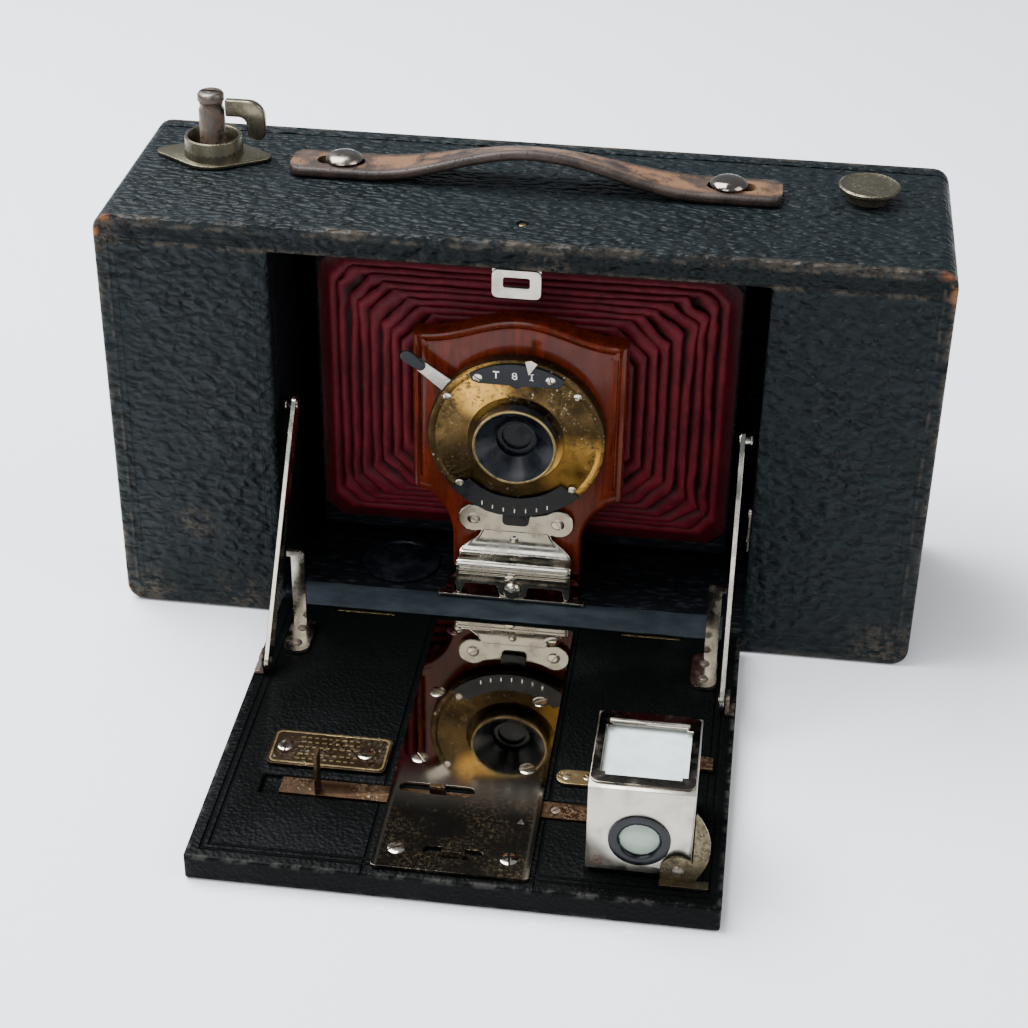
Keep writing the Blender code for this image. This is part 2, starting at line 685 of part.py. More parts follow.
def bellows():
    """The folded bellows as one tapering sleeve, and the box frame behind it."""
    front = ((26.6, (41.0, 84.0)), 15.9)
    rear = ((53.6, (19.6, 97.0)), 26.4)
    thick = 1.6
    mesh = bpy.data.meshes.new("bellows")
    bm = bmesh.new()
    rings = []
    for ((half, (low, high)), d), inset in ((front, 0), (rear, 0), (rear, thick), (front, thick)):
        corners = ((-1, low + inset), (1, low + inset), (1, high - inset), (-1, high - inset))
        rings.append([bm.verts.new(vec(s * (half - inset), deep(d), z)) for s, z in corners])
    for ring, after in zip(rings, rings[1:] + rings[:1]):
        for i in range(4):
            j = (i + 1) % 4
            bm.faces.new((ring[i], ring[j], after[j], after[i]))
    bmesh.ops.recalc_face_normals(bm, faces=bm.faces)
    bm.to_mesh(mesh)
    bm.free()
    finish(recentre(new_object("bellows", mesh)), "bellows_leather")

    frame = plate("bellows_frame", "Y", (deep(26.8), deep(GATE_D - GAP)),
                  rounded((-57.0, 57.0), (13.6, 103.0), 1.5, 2),
                  rounded((-FRAME_HALF_X, FRAME_HALF_X), FRAME_Z, 1.5, 2))
    finish(frame, "black_wood")


# ---------------------------------------------------------------- lens standard

def board_outline():
    """Half of the lens board: waist, hollow shoulder, straight side and wave-shaped top."""
    points = [(WAIST_HALF, 9.5), (WAIST_HALF, 24.0)]
    shoulder = WAIST_HALF + 12.0
    for i in range(1, 7):
        angle = math.radians(80 * i / 6)
        points.append((shoulder - 12.0 * math.cos(angle) + 0.6 * i / 6, 24.0 + 14.6 * math.sin(angle)))
    points += [(BOARD_HALF, 38.6), (BOARD_HALF, 85.4)]
    for i in range(9):
        x = 26.0 * (1 - i / 8)
        points.append((x, 85.4 + 2.8 * (1 + math.cos(math.pi * x / 26.0))))
    return mirrored(points)


def lens_standard():
    board = plate("lens_board", "Y", (deep(BOARD_D[0]), deep(BOARD_D[1])), board_outline())
    cut(finish(board, "mahogany"), rod("board_hole", "Y", (0, deep(12), AXIS_Z), 10.0, 20, 32))

    ear = (11.6, 30.6)
    half = [(15.6, 20.0), (9.6, 26.6)] + arc(ear, 4.2, -120, 110, 9) + [(6.0, 33.0), (0.0, 32.4)]
    foot = plate("standard_foot", "Y", (deep(8.7), deep(9.6)), mirrored(half))
    shelf = box("shelf", (-15.8, 15.8), (deep(3.0), deep(9.6)), (19.3, 20.3))
    apron = box("apron", (-15.8, 15.8), (deep(2.9), deep(3.9)), (12.9, 20.3))
    tongue = box("tongue", (-3.2, 3.2), (deep(2.9), deep(3.9)), (8.4, 13.4))
    base = box("base", (TRACK_X - 16.5, TRACK_X + 16.5), (deep(2.9), deep(24.0)), (8.4, 9.2))
    hooks = box("hooks", (TRACK_X - 20.2, TRACK_X + 20.2), (deep(2.9), deep(6.2)), (8.4, 9.2))
    lips = [box("lip", sorted((TRACK_X + side * 19.0, TRACK_X + side * 20.2)), (deep(2.9), deep(6.2)),
                (7.9, 8.8)) for side in (-1, 1)]
    join(foot, shelf, apron, tongue, base, hooks, *lips)
    finish(foot, "nickel")

    case = turned("shutter_case", "Y", (0, deep(SHUTTER_D[0]), AXIS_Z),
                  [(SHUTTER_R - 0.5, 0), (SHUTTER_R, 0.5), (SHUTTER_R, 4.0), (SHUTTER_R - 1.0, 4.0),
                   (SHUTTER_R - 1.0, 0.8), (10.6, 0.8), (10.6, 0)], 40)
    lever_slot = box("lever_slot", (-26, -12), (deep(6.6), deep(7.6)), (68, 84))
    pointer_slot = box("pointer_slot", (-8.5, 8.5), (deep(7.3), deep(9.9)), (30, 37.5))
    cut(finish(case, "brass", True), lever_slot, pointer_slot)

    hood = turned("lens_hood", "Y", (0, deep(1.6), AXIS_Z),
                  [(10.3, 0), (11.1, 0), (11.1, 3.7), (10.2, 3.9), (10.2, 5.3), (5.4, 5.3),
                   (5.4, 4.6), (9.8, 0.9)], 36)
    finish(hood, "black_enamel", True)
    glass = turned("lens_glass", "Y", (0, deep(11.0), AXIS_Z),
                   [(0, 0.9), (5.0, 0.6), (9.6, -0.6), (9.6, 1.8), (5.0, 2.6), (0, 2.9)], 28)
    finish(glass, "glass", True)

    upper = arc((0, AXIS_Z), 22.9, 57, 123, 12)
    lower = [(-11.8, 75.4), (-10.0, 74.7), (-2.0, 74.7), (0.0, 73.7), (2.0, 74.7), (10.0, 74.7), (11.8, 75.4)]
    top_dial = plate("dial_plate_top", "Y", (deep(4.9), deep(5.4)), upper + lower)
    finish(top_dial, "black_enamel")
    low_dial = plate("dial_plate_bottom", "Y", (deep(4.9), deep(5.4)),
                     arc((0, AXIS_Z), 23.3, -138, -42, 16) + arc((0, AXIS_Z), 17.6, -46, -134, 14))
    finish(low_dial, "black_enamel")

    slide = pivot("standard_slide_axis", (0, deep(BOARD_D[0]), TRACK_Z[1]))
    attach(slide, board, foot, case, hood, glass, top_dial, low_dial)
    knob = turned("foot_knob", "Y", (0, deep(1.5), 12.0),
                  [(0, 0), (1.6, 0.1), (2.4, 0.5), (2.4, 1.1), (0, 1.1)], 20)
    finish(knob, "nickel", True)
    attach(slide, knob)
    return slide


def shutter_works(slide):
    """Release lever, shutter blade, time pointer and the aperture wheel with its pointer."""
    lever_axis = (-13.0, AXIS_Z + 10.0)
    tip = (-28.3, 79.7)
    run = Vector((tip[0] - lever_axis[0], tip[1] - lever_axis[1]))
    turn = math.degrees(math.atan2(run.y, run.x))
    outline = arc(lever_axis, 2.4, turn + 90, turn + 270, 8) + arc(tip, 1.5, turn - 90, turn + 90, 5)
    lever = plate("release_lever", "Y", (deep(6.8), deep(7.3)), outline)
    finish(lever, "nickel")
    lever_pivot = pivot("release_lever_axis", (lever_axis[0], deep(7), lever_axis[1]))
    attach(lever_pivot, lever)

    blade_axis = (14.0, AXIS_Z + 8.0)
    blade = plate("shutter_blade", "Y", (deep(8.7), deep(9.1)), arc((0, AXIS_Z), 7.6, 0, 345, 23))
    arm_run = Vector((-14.0, -8.0)).normalized()
    side = Vector((-arm_run.y, arm_run.x)) * 1.6
    start, end = Vector(blade_axis), Vector(blade_axis) + arm_run * 11.0
    arm = plate("blade_arm", "Y", (deep(8.7), deep(9.1)),
                [start + side, end + side, end - side, start - side])
    boss = rod("blade_boss", "Y", (blade_axis[0], deep(8.9), blade_axis[1]), 2.4, 0.4, 18)
    join(blade, arm, boss)
    finish(blade, "steel")
    blade_pivot = pivot("shutter_blade_axis", (blade_axis[0], deep(8.9), blade_axis[1]))
    attach(blade_pivot, blade)

    point = Vector((math.sin(math.radians(9)), math.cos(math.radians(9))))
    across = Vector((point.y, -point.x))
    centre = Vector((0, AXIS_Z))
    pointer = plate("mode_pointer", "Y", (deep(4.0), deep(4.6)),
                    [centre + point * 20.6, centre + point * 24.6 + across * 1.7,
                     centre + point * 25.2, centre + point * 24.6 - across * 1.7])
    finish(pointer, "nickel")
    mode_pivot = pivot("mode_pointer_axis", (0, deep(4.3), AXIS_Z))
    attach(mode_pivot, pointer)

    wheel = plate("aperture_wheel", "Y", (deep(7.6), deep(8.2)),
                  arc((0, AXIS_Z), 12.0, 0, 345, 23), arc((0, AXIS_Z), 4.0, 0, 345, 23))
    arm = box("aperture_arm", (-1.4, 1.4), (deep(7.6), deep(8.2)), (AXIS_Z - 27.6, AXIS_Z - 11.0))
    tip_plate = plate("aperture_tip", "Y", (deep(7.6), deep(8.2)),
                      rounded((-3.6, 3.6), (AXIS_Z - 28.2, AXIS_Z - 24.2), 1.4))
    join(wheel, arm, tip_plate)
    finish(wheel, "black_enamel")
    wheel_pivot = pivot("aperture_wheel_axis", (0, deep(7.9), AXIS_Z))
    attach(wheel_pivot, wheel)
    attach(slide, lever_pivot, blade_pivot, mode_pivot, wheel_pivot)


def inner_track():
    """The rails' continuation on the case's floor, where the folded standard stands."""
    track = plate("inner_track", "Z", TRACK_Z,
                  rounded((TRACK_X - TRACK_HALF, TRACK_X + TRACK_HALF), (deep(6.0), deep(26.0)), 0.8, 2))
    finish(track, "nickel")


def main():
    clear_scene()
    case_boards()
    back_cover()
    film_path()
    carry_handle()
    tripod_socket()
    bed_catch()
    inner_track()
    case_hinge()
    hinge_cover()
    bellows()
    hinge = pivot("bed_hinge_axis", (0, deep(HINGE[0]), HINGE[1]))
    bed(hinge)
    for side, word in ((-1, "left"), (1, "right")):
        strut(side, word)
    focus_bar()
    finder()
    shutter_works(lens_standard())


main()
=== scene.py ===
import json
import math

import bmesh
import bpy
from bpy.props import FloatProperty, FloatVectorProperty, IntProperty, PointerProperty
from mathutils import Euler, Matrix, Vector, noise


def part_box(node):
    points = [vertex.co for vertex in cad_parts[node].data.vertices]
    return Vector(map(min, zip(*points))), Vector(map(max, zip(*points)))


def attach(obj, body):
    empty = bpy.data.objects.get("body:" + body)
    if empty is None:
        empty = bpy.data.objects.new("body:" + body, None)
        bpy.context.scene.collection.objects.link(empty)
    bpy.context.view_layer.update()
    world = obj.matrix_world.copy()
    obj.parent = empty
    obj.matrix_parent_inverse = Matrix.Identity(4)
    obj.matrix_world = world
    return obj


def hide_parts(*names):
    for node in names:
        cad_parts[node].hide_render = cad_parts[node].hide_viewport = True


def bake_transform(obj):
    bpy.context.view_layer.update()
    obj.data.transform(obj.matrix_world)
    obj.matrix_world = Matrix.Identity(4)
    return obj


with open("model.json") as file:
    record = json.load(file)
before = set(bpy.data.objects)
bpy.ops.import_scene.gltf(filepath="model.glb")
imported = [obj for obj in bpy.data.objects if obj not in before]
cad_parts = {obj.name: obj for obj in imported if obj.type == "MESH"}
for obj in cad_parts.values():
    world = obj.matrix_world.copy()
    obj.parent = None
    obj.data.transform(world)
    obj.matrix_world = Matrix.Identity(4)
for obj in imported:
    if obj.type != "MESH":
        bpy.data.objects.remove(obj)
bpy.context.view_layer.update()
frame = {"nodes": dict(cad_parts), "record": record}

bl_info = {
    "name": "Folding Bed Camera",
    "version": (1, 0, 0),
    "blender": (4, 5, 0),
    "location": "View3D > Sidebar > Folding camera",
    "description": "Finished pieces, materials and stage of a leather-covered folding-bed roll-film camera",
    "category": "Object",
}

# Sizes are in millimetres here, and become metres when a mesh is finished
MM = 0.001
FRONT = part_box("case_end_left")[0].y / MM
CASE_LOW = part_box("case_bottom_board")[0] / MM
CASE_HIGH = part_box("case_top_board")[1] / MM
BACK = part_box("back_cover")[1].y / MM
OPEN_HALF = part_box("front_panel_right")[0].x / MM
PANEL_DEPTH = 6.0
FLOOR_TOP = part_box("inner_track")[0].z / MM - 0.3
ROOF = CASE_HIGH.z - 7.5
WALL = 6.5
BED_LOW, BED_HIGH = (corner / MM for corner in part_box("bed_board"))
TRACK_LOW, TRACK_HIGH = (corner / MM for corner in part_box("track_plate"))
AXIS = (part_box("shutter_case")[0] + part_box("shutter_case")[1]) / 2 / MM
KEY_X, SPOOL_DEPTH = 86.0, 40.0
BUSH_X, BUSH_DEPTH = -33.5, 19.0
WINDOW_X = 20.0
STUD_X = 50.2
FINDER_PIVOT = (52.3, 11.0)
FINDER_LOW, FINDER_HIGH = (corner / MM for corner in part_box("finder_body"))


def deep(d):
    """World Y, in millimetres, of a plane d behind the case's front face."""
    return FRONT + d


# ------------------------------------------------------------------ settings

class CaseSettings(bpy.types.PropertyGroup):
    leather_color: FloatVectorProperty(
        name="Leatherette", description="Colour of the pebbled leatherette on the case",
        subtype="COLOR", size=3, min=0, max=1, default=(0.0030, 0.0048, 0.0054))
    corner_radius: FloatProperty(
        name="Corner radius", description="Radius of the case's long rounded corners",
        unit="LENGTH", default=0.0045, min=0.001, max=0.01)
    edge_radius: FloatProperty(
        name="Edge radius", description="How far the leather rounds over the boards' edges",
        unit="LENGTH", default=0.0011, min=0.0002, max=0.003)


class BellowsSettings(bpy.types.PropertyGroup):
    leather_color: FloatVectorProperty(
        name="Bellows leather", description="Colour of the folded leather",
        subtype="COLOR", size=3, min=0, max=1, default=(0.090, 0.0050, 0.0105))
    folds: IntProperty(
        name="Folds", description="Number of ridges between the frame and the lens board",
        default=9, min=3, max=20)
    fold_depth: FloatProperty(
        name="Fold depth", description="Width of each rolled fold",
        unit="LENGTH", default=0.0036, min=0.001, max=0.01)


class StandardSettings(bpy.types.PropertyGroup):
    wood_color: FloatVectorProperty(
        name="Mahogany", description="Main colour of the polished lens board",
        subtype="COLOR", size=3, min=0, max=1, default=(0.120, 0.0145, 0.0034))
    brass_color: FloatVectorProperty(
        name="Brass", description="Colour of the shutter's aged brass",
        subtype="COLOR", size=3, min=0, max=1, default=(0.098, 0.060, 0.022))
    moulding_width: FloatProperty(
        name="Moulding width", description="Width of the bead and cove round the lens board",
        unit="LENGTH", default=0.0040, min=0.001, max=0.006)


class HandleSettings(bpy.types.PropertyGroup):
    leather_color: FloatVectorProperty(
        name="Strap leather", description="Colour of the carrying strap",
        subtype="COLOR", size=3, min=0, max=1, default=(0.026, 0.017, 0.013))
    twist: FloatProperty(
        name="Twist", description="How far the strap's middle has twisted towards the front",
        subtype="ANGLE", default=math.radians(17), min=0, max=1)


class MetalSettings(bpy.types.PropertyGroup):
    nickel_color: FloatVectorProperty(
        name="Nickel", description="Colour of the nickel plate", subtype="COLOR", size=3, min=0, max=1,
        default=(0.38, 0.355, 0.30))
    screw_radius: FloatProperty(
        name="Screw radius", description="Radius of the bed's countersunk screw heads",
        unit="LENGTH", default=0.0021, min=0.0005, max=0.004)


class StageSettings(bpy.types.PropertyGroup):
    camera_place: FloatVectorProperty(
        name="Camera place", description="Where the camera stands", subtype="TRANSLATION", size=3,
        default=(0.05833, -0.50795, 0.34680))
    camera_turn: FloatVectorProperty(
        name="Camera turn", description="The camera's rotation", subtype="EULER", size=3,
        default=(math.radians(57.277), math.radians(-0.809), math.radians(7.445)))
    camera_lens: FloatProperty(
        name="Focal length", description="Focal length on a 36 mm sensor, in millimetres",
        default=75.18, min=10, max=300)
    floor_color: FloatVectorProperty(
        name="Floor", description="Colour of the floor", subtype="COLOR", size=3, min=0, max=1,
        default=(0.90, 0.915, 0.93))


# ------------------------------------------------------------------ materials

class Finish:
    """A Principled material with helpers that add nodes to it."""

    def __init__(self, name, color, roughness, metallic=0.0, **sockets):
        self.material = bpy.data.materials.new(name)
        self.material.use_nodes = True
        self.tree = self.material.node_tree
        self.shader = self.tree.nodes["Principled BSDF"]
        self.shader.inputs["Base Color"].default_value = (*color, 1.0)
        self.shader.inputs["Roughness"].default_value = roughness
        self.shader.inputs["Metallic"].default_value = metallic
        for socket, value in sockets.items():
            self.shader.inputs[socket.replace("_", " ")].default_value = value
        self.place = self.tree.nodes.new("ShaderNodeTexCoord").outputs["Object"]
        self.height = None

    def feed(self, socket, value):
        if isinstance(value, bpy.types.NodeSocket):
            self.tree.links.new(value, socket)
        elif isinstance(value, (tuple, list)) and len(value) == 3 and socket.type == "RGBA":
            socket.default_value = (*value, 1.0)
        else:
            socket.default_value = value

    def node(self, kind, inputs=(), **props):
        made = self.tree.nodes.new(kind)
        for key, value in props.items():
            setattr(made, key, value)
        for key, value in dict(inputs).items():
            self.feed(made.inputs[key], value)
        return made

    def maths(self, operation, a, b=0.0, clamp=False):
        return self.node("ShaderNodeMath", {0: a, 1: b}, operation=operation, use_clamp=clamp).outputs[0]

    def axis(self, letter):
        return self.node("ShaderNodeSeparateXYZ", {0: self.place}).outputs[letter]

    def stretched(self, scale):
        return self.node("ShaderNodeMapping", {"Vector": self.place, "Scale": scale}).outputs[0]

    def noise(self, size, detail=3.0, rough=0.55, vector=None, warp=0.0):
        """Noise from 0 to 1 whose features are about size metres across."""
        inputs = {"Vector": vector or self.place, "Scale": 1 / size, "Detail": detail, "Roughness": rough,
                  "Distortion": warp}
        return self.node("ShaderNodeTexNoise", inputs).outputs["Fac"]

    def cells(self, size, feature="F1", vector=None):
        inputs = {"Vector": vector or self.place, "Scale": 1 / size}
        return self.node("ShaderNodeTexVoronoi", inputs, feature=feature).outputs["Distance"]

    def fade(self, value, low, high, to_low=0.0, to_high=1.0):
        """A smooth step of value between low and high."""
        inputs = {"Value": value, "From Min": low, "From Max": high, "To Min": to_low, "To Max": to_high}
        return self.node("ShaderNodeMapRange", inputs, interpolation_type="SMOOTHSTEP").outputs[0]

    def mix(self, factor, a, b):
        return self.node("ShaderNodeMix", {0: factor, 6: a, 7: b}, data_type="RGBA").outputs[2]

    def spot(self, centre, radius, soft):
        """1 inside a ball round a point given in millimetres, fading to 0 outside it."""
        centre = tuple(c * MM for c in centre)
        away = self.node("ShaderNodeVectorMath", {0: self.place, 1: centre}, operation="DISTANCE")
        return self.fade(away.outputs["Value"], (radius + soft) * MM, (radius - soft) * MM)

    def color(self, value):
        self.feed(self.shader.inputs["Base Color"], value)

    def roughness(self, value):
        self.feed(self.shader.inputs["Roughness"], value)

    def metallic(self, value):
        self.feed(self.shader.inputs["Metallic"], value)

    def bump(self, height, distance, strength=1.0):
        """Adds a bump of the given depth in metres on top of earlier ones."""
        made = self.node("ShaderNodeBump", {"Height": height, "Distance": distance, "Strength": strength})
        if self.height is not None:
            self.feed(made.inputs["Normal"], self.height)
        self.height = made.outputs[0]
        self.feed(self.shader.inputs["Normal"], self.height)

    def near(self, distance, reach):
        """1 on a plane that lies distance away, falling to 0 at reach millimetres."""
        return self.fade(distance, reach * MM, 0.0)


def box_edges(finish, low, high, reach):
    """How close a surface point is to an edge of a block given by its corners in millimetres."""
    nears = []
    for i, letter in enumerate("XYZ"):
        value = finish.axis(letter)
        to_low = finish.maths("ABSOLUTE", finish.maths("SUBTRACT", value, low[i] * MM))
        to_high = finish.maths("ABSOLUTE", finish.maths("SUBTRACT", value, high[i] * MM))
        nears.append(finish.near(finish.maths("MINIMUM", to_low, to_high), reach))
    pairs = [finish.maths("MULTIPLY", nears[i], nears[j]) for i, j in ((0, 1), (1, 2), (0, 2))]
    return finish.maths("MAXIMUM", finish.maths("MAXIMUM", pairs[0], pairs[1]), pairs[2])


def line_groove(finish, distance, at, width):
    """1 along a line at a given distance in millimetres, for an embossed groove."""
    off = finish.maths("ABSOLUTE", finish.maths("SUBTRACT", distance, at * MM))
    return finish.fade(off, width * MM, 0.0)


def leatherette(color):
    """Pebbled leatherette: rippled grain with painted highlight on its ridges and painted shade in its
    hollows, worn and frayed along the boards' edges.
    """
    f = Finish("leatherette", color, 0.5, Specular_IOR_Level=0.11)
    ripple = f.noise(0.0027, 1.2, 0.4, f.stretched((0.8, 1.8, 1.15)), 0.45)
    pebble = f.cells(0.0022, "SMOOTH_F1", f.stretched((0.75, 1.6, 1.1)))
    fine = f.noise(0.0004, 2.0)
    blotch = f.noise(0.02, 4.0, 0.6)
    tone = f.mix(f.fade(blotch, 0.35, 0.7), color, tuple(c * 1.5 for c in color))
    # Painted highlight and shade: the ripple's raised ridges are coloured lighter and its hollows darker.
    painted_ripple_light = f.fade(ripple, 0.42, 0.62)
    tone = f.mix(f.maths("MULTIPLY", painted_ripple_light, 0.7), tone, tuple(c * 2.6 for c in color))
    dust = f.fade(f.noise(0.0011, 2.0, 0.7), 0.66, 0.76)
    tone = f.mix(f.maths("MULTIPLY", dust, 0.5), tone, (0.055, 0.058, 0.056))

    edge = box_edges(f, CASE_LOW, Vector((CASE_HIGH.x, BACK, CASE_HIGH.z)), 2.6)
    ragged = f.maths("MULTIPLY", edge, f.fade(f.noise(0.009, 6.0, 0.75), 0.44, 0.60))
    ragged = f.maths("MULTIPLY", ragged, f.fade(f.noise(0.03, 2.0), 0.30, 0.55, 0.25, 0.9))
    scuffs = [((-86.5, FRONT, 27.6), 4.5), ((-101, FRONT, 4), 6), ((-76, FRONT, 4.4), 7),
              ((101, FRONT, 5), 8), ((8, FRONT, 109.6), 5), ((-107, FRONT, 112), 5)]
    for centre, radius in scuffs:
        scuffed = f.fade(f.noise(0.0022, 4.0, 0.75), 0.47, 0.60)
        patch = f.maths("MULTIPLY", f.spot(centre, radius, radius * 0.7), scuffed)
        ragged = f.maths("MAXIMUM", ragged, f.maths("MULTIPLY", patch, 0.75))
    board = f.mix(f.noise(0.003, 3.0), (0.028, 0.022, 0.016), (0.085, 0.068, 0.050))
    front = f.fade(f.axis("Y"), (FRONT + 1.2) * MM, (FRONT + 0.5) * MM)
    height = f.axis("Z")
    above_lip = f.fade(height, 109.6 * MM, 110.4 * MM)
    below_edge = f.fade(height, 115.4 * MM, 114.9 * MM)
    band = f.maths("MULTIPLY", f.maths("MULTIPLY", above_lip, below_edge), front)
    tone = f.mix(f.maths("MULTIPLY", band, 0.8), tone, tuple(c * 0.8 for c in color))
    away = f.maths("ABSOLUTE", f.axis("X"))
    hems = f.maths("MAXIMUM", line_groove(f, height, 115.6, 1.1), line_groove(f, height, ROOF + 0.5, 1.3))
    hems = f.maths("MAXIMUM", hems, f.maths("MULTIPLY", line_groove(f, away, CASE_HIGH.x - 3.2, 0.7), 0.8))
    torn = f.fade(f.noise(0.005, 6.0, 0.75), 0.46, 0.60)
    frayed = f.maths("MULTIPLY", f.maths("MULTIPLY", hems, front), torn)
    tone = f.mix(f.maths("MULTIPLY", frayed, 0.75), tone, board)
    tone = f.mix(ragged, tone, board)
    corners = [((-107, FRONT, 113.5), 4.5), ((107, FRONT, 113.5), 4.0), ((-107.5, FRONT, 2), 2.5)]
    for centre, radius in corners:
        chipped = f.fade(f.noise(0.004, 4.0), 0.42, 0.5)
        bare = f.maths("MULTIPLY", f.spot(centre, radius, radius * 0.6), chipped)
        tone = f.mix(f.maths("MULTIPLY", bare, edge), tone, (0.24, 0.085, 0.028))
    f.color(tone)
    f.roughness(f.fade(blotch, 0.3, 0.7, 0.34, 0.50))
    f.bump(ripple, 0.0017, 0.9)
    f.bump(pebble, 0.0012, 0.75)
    f.bump(fine, 0.0001, 0.35)
    return f.material


def fine_leather():
    """Fine-grained black leather on the bed, with two embossed lines inside its border."""
    f = Finish("fine_black_leather", (0.003, 0.0032, 0.0035), 0.44, Specular_IOR_Level=0.05)
    grain = f.cells(0.0009, "SMOOTH_F1")
    side = f.maths("SUBTRACT", BED_HIGH.x * MM, f.maths("ABSOLUTE", f.axis("X")))
    end = f.maths("SUBTRACT", f.axis("Y"), BED_LOW.y * MM)
    border = f.maths("MINIMUM", side, end)
    rail = f.maths("ABSOLUTE", f.maths("SUBTRACT", f.axis("X"), (TRACK_LOW.x + TRACK_HIGH.x) / 2 * MM))
    rail = f.maths("SUBTRACT", rail, (TRACK_HIGH.x - TRACK_LOW.x) / 2 * MM)
    on_top = f.fade(f.axis("Z"), (BED_HIGH.z - 0.8) * MM, (BED_HIGH.z - 0.3) * MM)
    lines = None
    for distance, at in ((border, 3.4), (border, 5.2), (rail, 1.6)):
        groove = line_groove(f, distance, at, 0.55)
        lines = groove if lines is None else f.maths("MAXIMUM", lines, groove)
    lines = f.maths("MULTIPLY", lines, on_top)
    f.bump(grain, 0.0003, 0.7)
    f.bump(f.maths("MULTIPLY", lines, -1.0), 0.0007, 0.9)
    edge = box_edges(f, BED_LOW, BED_HIGH, 1.6)
    wear_and_fold_light = f.maths("MULTIPLY", edge, f.fade(f.noise(0.004, 5.0, 0.7), 0.46, 0.62))
    cloud = f.fade(f.noise(0.02, 4.0), 0.45, 0.75)
    tone = f.mix(cloud, (0.0012, 0.0015, 0.0015), (0.0030, 0.0034, 0.0034))
    f.color(f.mix(wear_and_fold_light, tone, (0.034, 0.033, 0.030)))
    return f.material


def inner_cloth():
    """Black lining of the case's inside, matt with a faint level weave."""
    f = Finish("black_lining", (0.005, 0.006, 0.008), 0.7, Specular_IOR_Level=0.06)
    weave = f.noise(0.0009, 3.0, 0.6, f.stretched((0.25, 1.0, 1.6)))
    f.color(f.mix(f.fade(weave, 0.5, 0.75), (0.0028, 0.0032, 0.0042), (0.016, 0.020, 0.026)))
    f.bump(weave, 0.0003, 0.6)
    return f.material


def hinge_leather():
    """Slate-blue book cloth over the bed's hinge; its colour, lighter than the black leather, is painted
    sheen.
    """
    # Painted sheen: the base colour is set lighter than the bed's black leather.
    f = Finish("slate_cloth", (0.016, 0.022, 0.028), 0.62, Specular_IOR_Level=0.12)
    tone = f.noise(0.008, 4.0, 0.6, f.stretched((0.5, 1.0, 1.0)))
    f.color(f.mix(f.fade(tone, 0.35, 0.7), (0.012, 0.017, 0.021), (0.026, 0.034, 0.040)))
    f.bump(f.cells(0.0008, "SMOOTH_F1"), 0.00015, 0.5)
    return f.material


def bellows_leather(color):
    """Maroon leather, rubbed lighter on the ridges, with painted shade darkening the folds."""
    f = Finish("maroon_leather", color, 0.46, Specular_IOR_Level=0.14)
    ridge = f.node("ShaderNodeAttribute", attribute_name="ridge").outputs["Fac"]
    tone = f.mix(f.fade(f.noise(0.012, 4.0, 0.6), 0.3, 0.75), tuple(c * 0.72 for c in color),
                 tuple(c * 1.25 for c in color))
    # Painted shade: deep in each fold, where it tucks behind the next ridge, the colour drops to a tenth.
    tone = f.mix(f.fade(ridge, 0.05, 0.9), tuple(c * 0.10 for c in color), tone)
    rub = f.maths("MULTIPLY", f.fade(ridge, 0.75, 1.0), f.fade(f.noise(0.003, 4.0), 0.4, 0.65))
    tone = f.mix(f.maths("MULTIPLY", rub, 0.35), tone, tuple(c * 1.9 for c in color))
    f.color(tone)
    f.bump(f.cells(0.0008, "SMOOTH_F1"), 0.00012, 0.5)
    f.bump(f.noise(0.003, 4.0, 0.6), 0.0003, 0.5)
    return f.material


def mahogany(color):
    """Polished mahogany with an upright grain under a glossy varnish."""
    f = Finish("polished_mahogany", color, 0.3, Coat_Weight=0.22, Coat_Roughness=0.14,
               Specular_IOR_Level=0.12)
    grain = f.noise(0.0016, 5.0, 0.6, f.stretched((1.0, 1.0, 0.10)), 0.6)
    pores = f.noise(0.0004, 3.0, 0.7, f.stretched((1.0, 1.0, 0.06)))
    tone = f.mix(f.fade(grain, 0.32, 0.70), tuple(c * 0.45 for c in color), tuple(c * 1.25 for c in color))
    tone = f.mix(f.fade(f.noise(0.015, 3.0), 0.35, 0.75), tone, tuple(c * 0.6 for c in color))
    f.color(f.mix(f.fade(pores, 0.62, 0.75), tone, tuple(c * 0.3 for c in color)))
    f.roughness(f.fade(f.noise(0.005, 4.0), 0.3, 0.7, 0.2, 0.36))
    f.bump(pores, 0.00006, 0.35)
    return f.material


def nickel(name, color, tarnish=0.4, rust=0.0, matt=0.0):
    """Nickel plate with dull spots, and rust breaking through where it has worn."""
    f = Finish(name, color, 0.2, 1.0)
    cloud = f.noise(0.006, 5.0, 0.65)
    speck = f.noise(0.0009, 3.0, 0.7)
    dull = f.fade(cloud, 0.42, 0.72, 0.0, tarnish)
    tone = f.mix(dull, color, (0.30, 0.25, 0.19))
    spots = f.maths("MULTIPLY", f.fade(speck, 0.66, 0.72), tarnish)
    tone = f.mix(spots, tone, (0.12, 0.08, 0.05))
    rough = f.fade(cloud, 0.35, 0.75, 0.10 + matt, 0.36 + matt)
    if rust > 0:
        corroded = f.maths("MULTIPLY", f.fade(f.noise(0.0035, 5.0, 0.75), 0.62 - 0.25 * rust, 0.70), rust)
        tone = f.mix(corroded, tone, (0.11, 0.065, 0.04))
        rough = f.maths("ADD", rough, f.maths("MULTIPLY", corroded, 0.35))
        f.metallic(f.fade(corroded, 0.2, 0.9, 1.0, 0.45))
    f.color(tone)
    f.roughness(rough)
    f.bump(speck, 0.00003, 0.4)
    return f.material


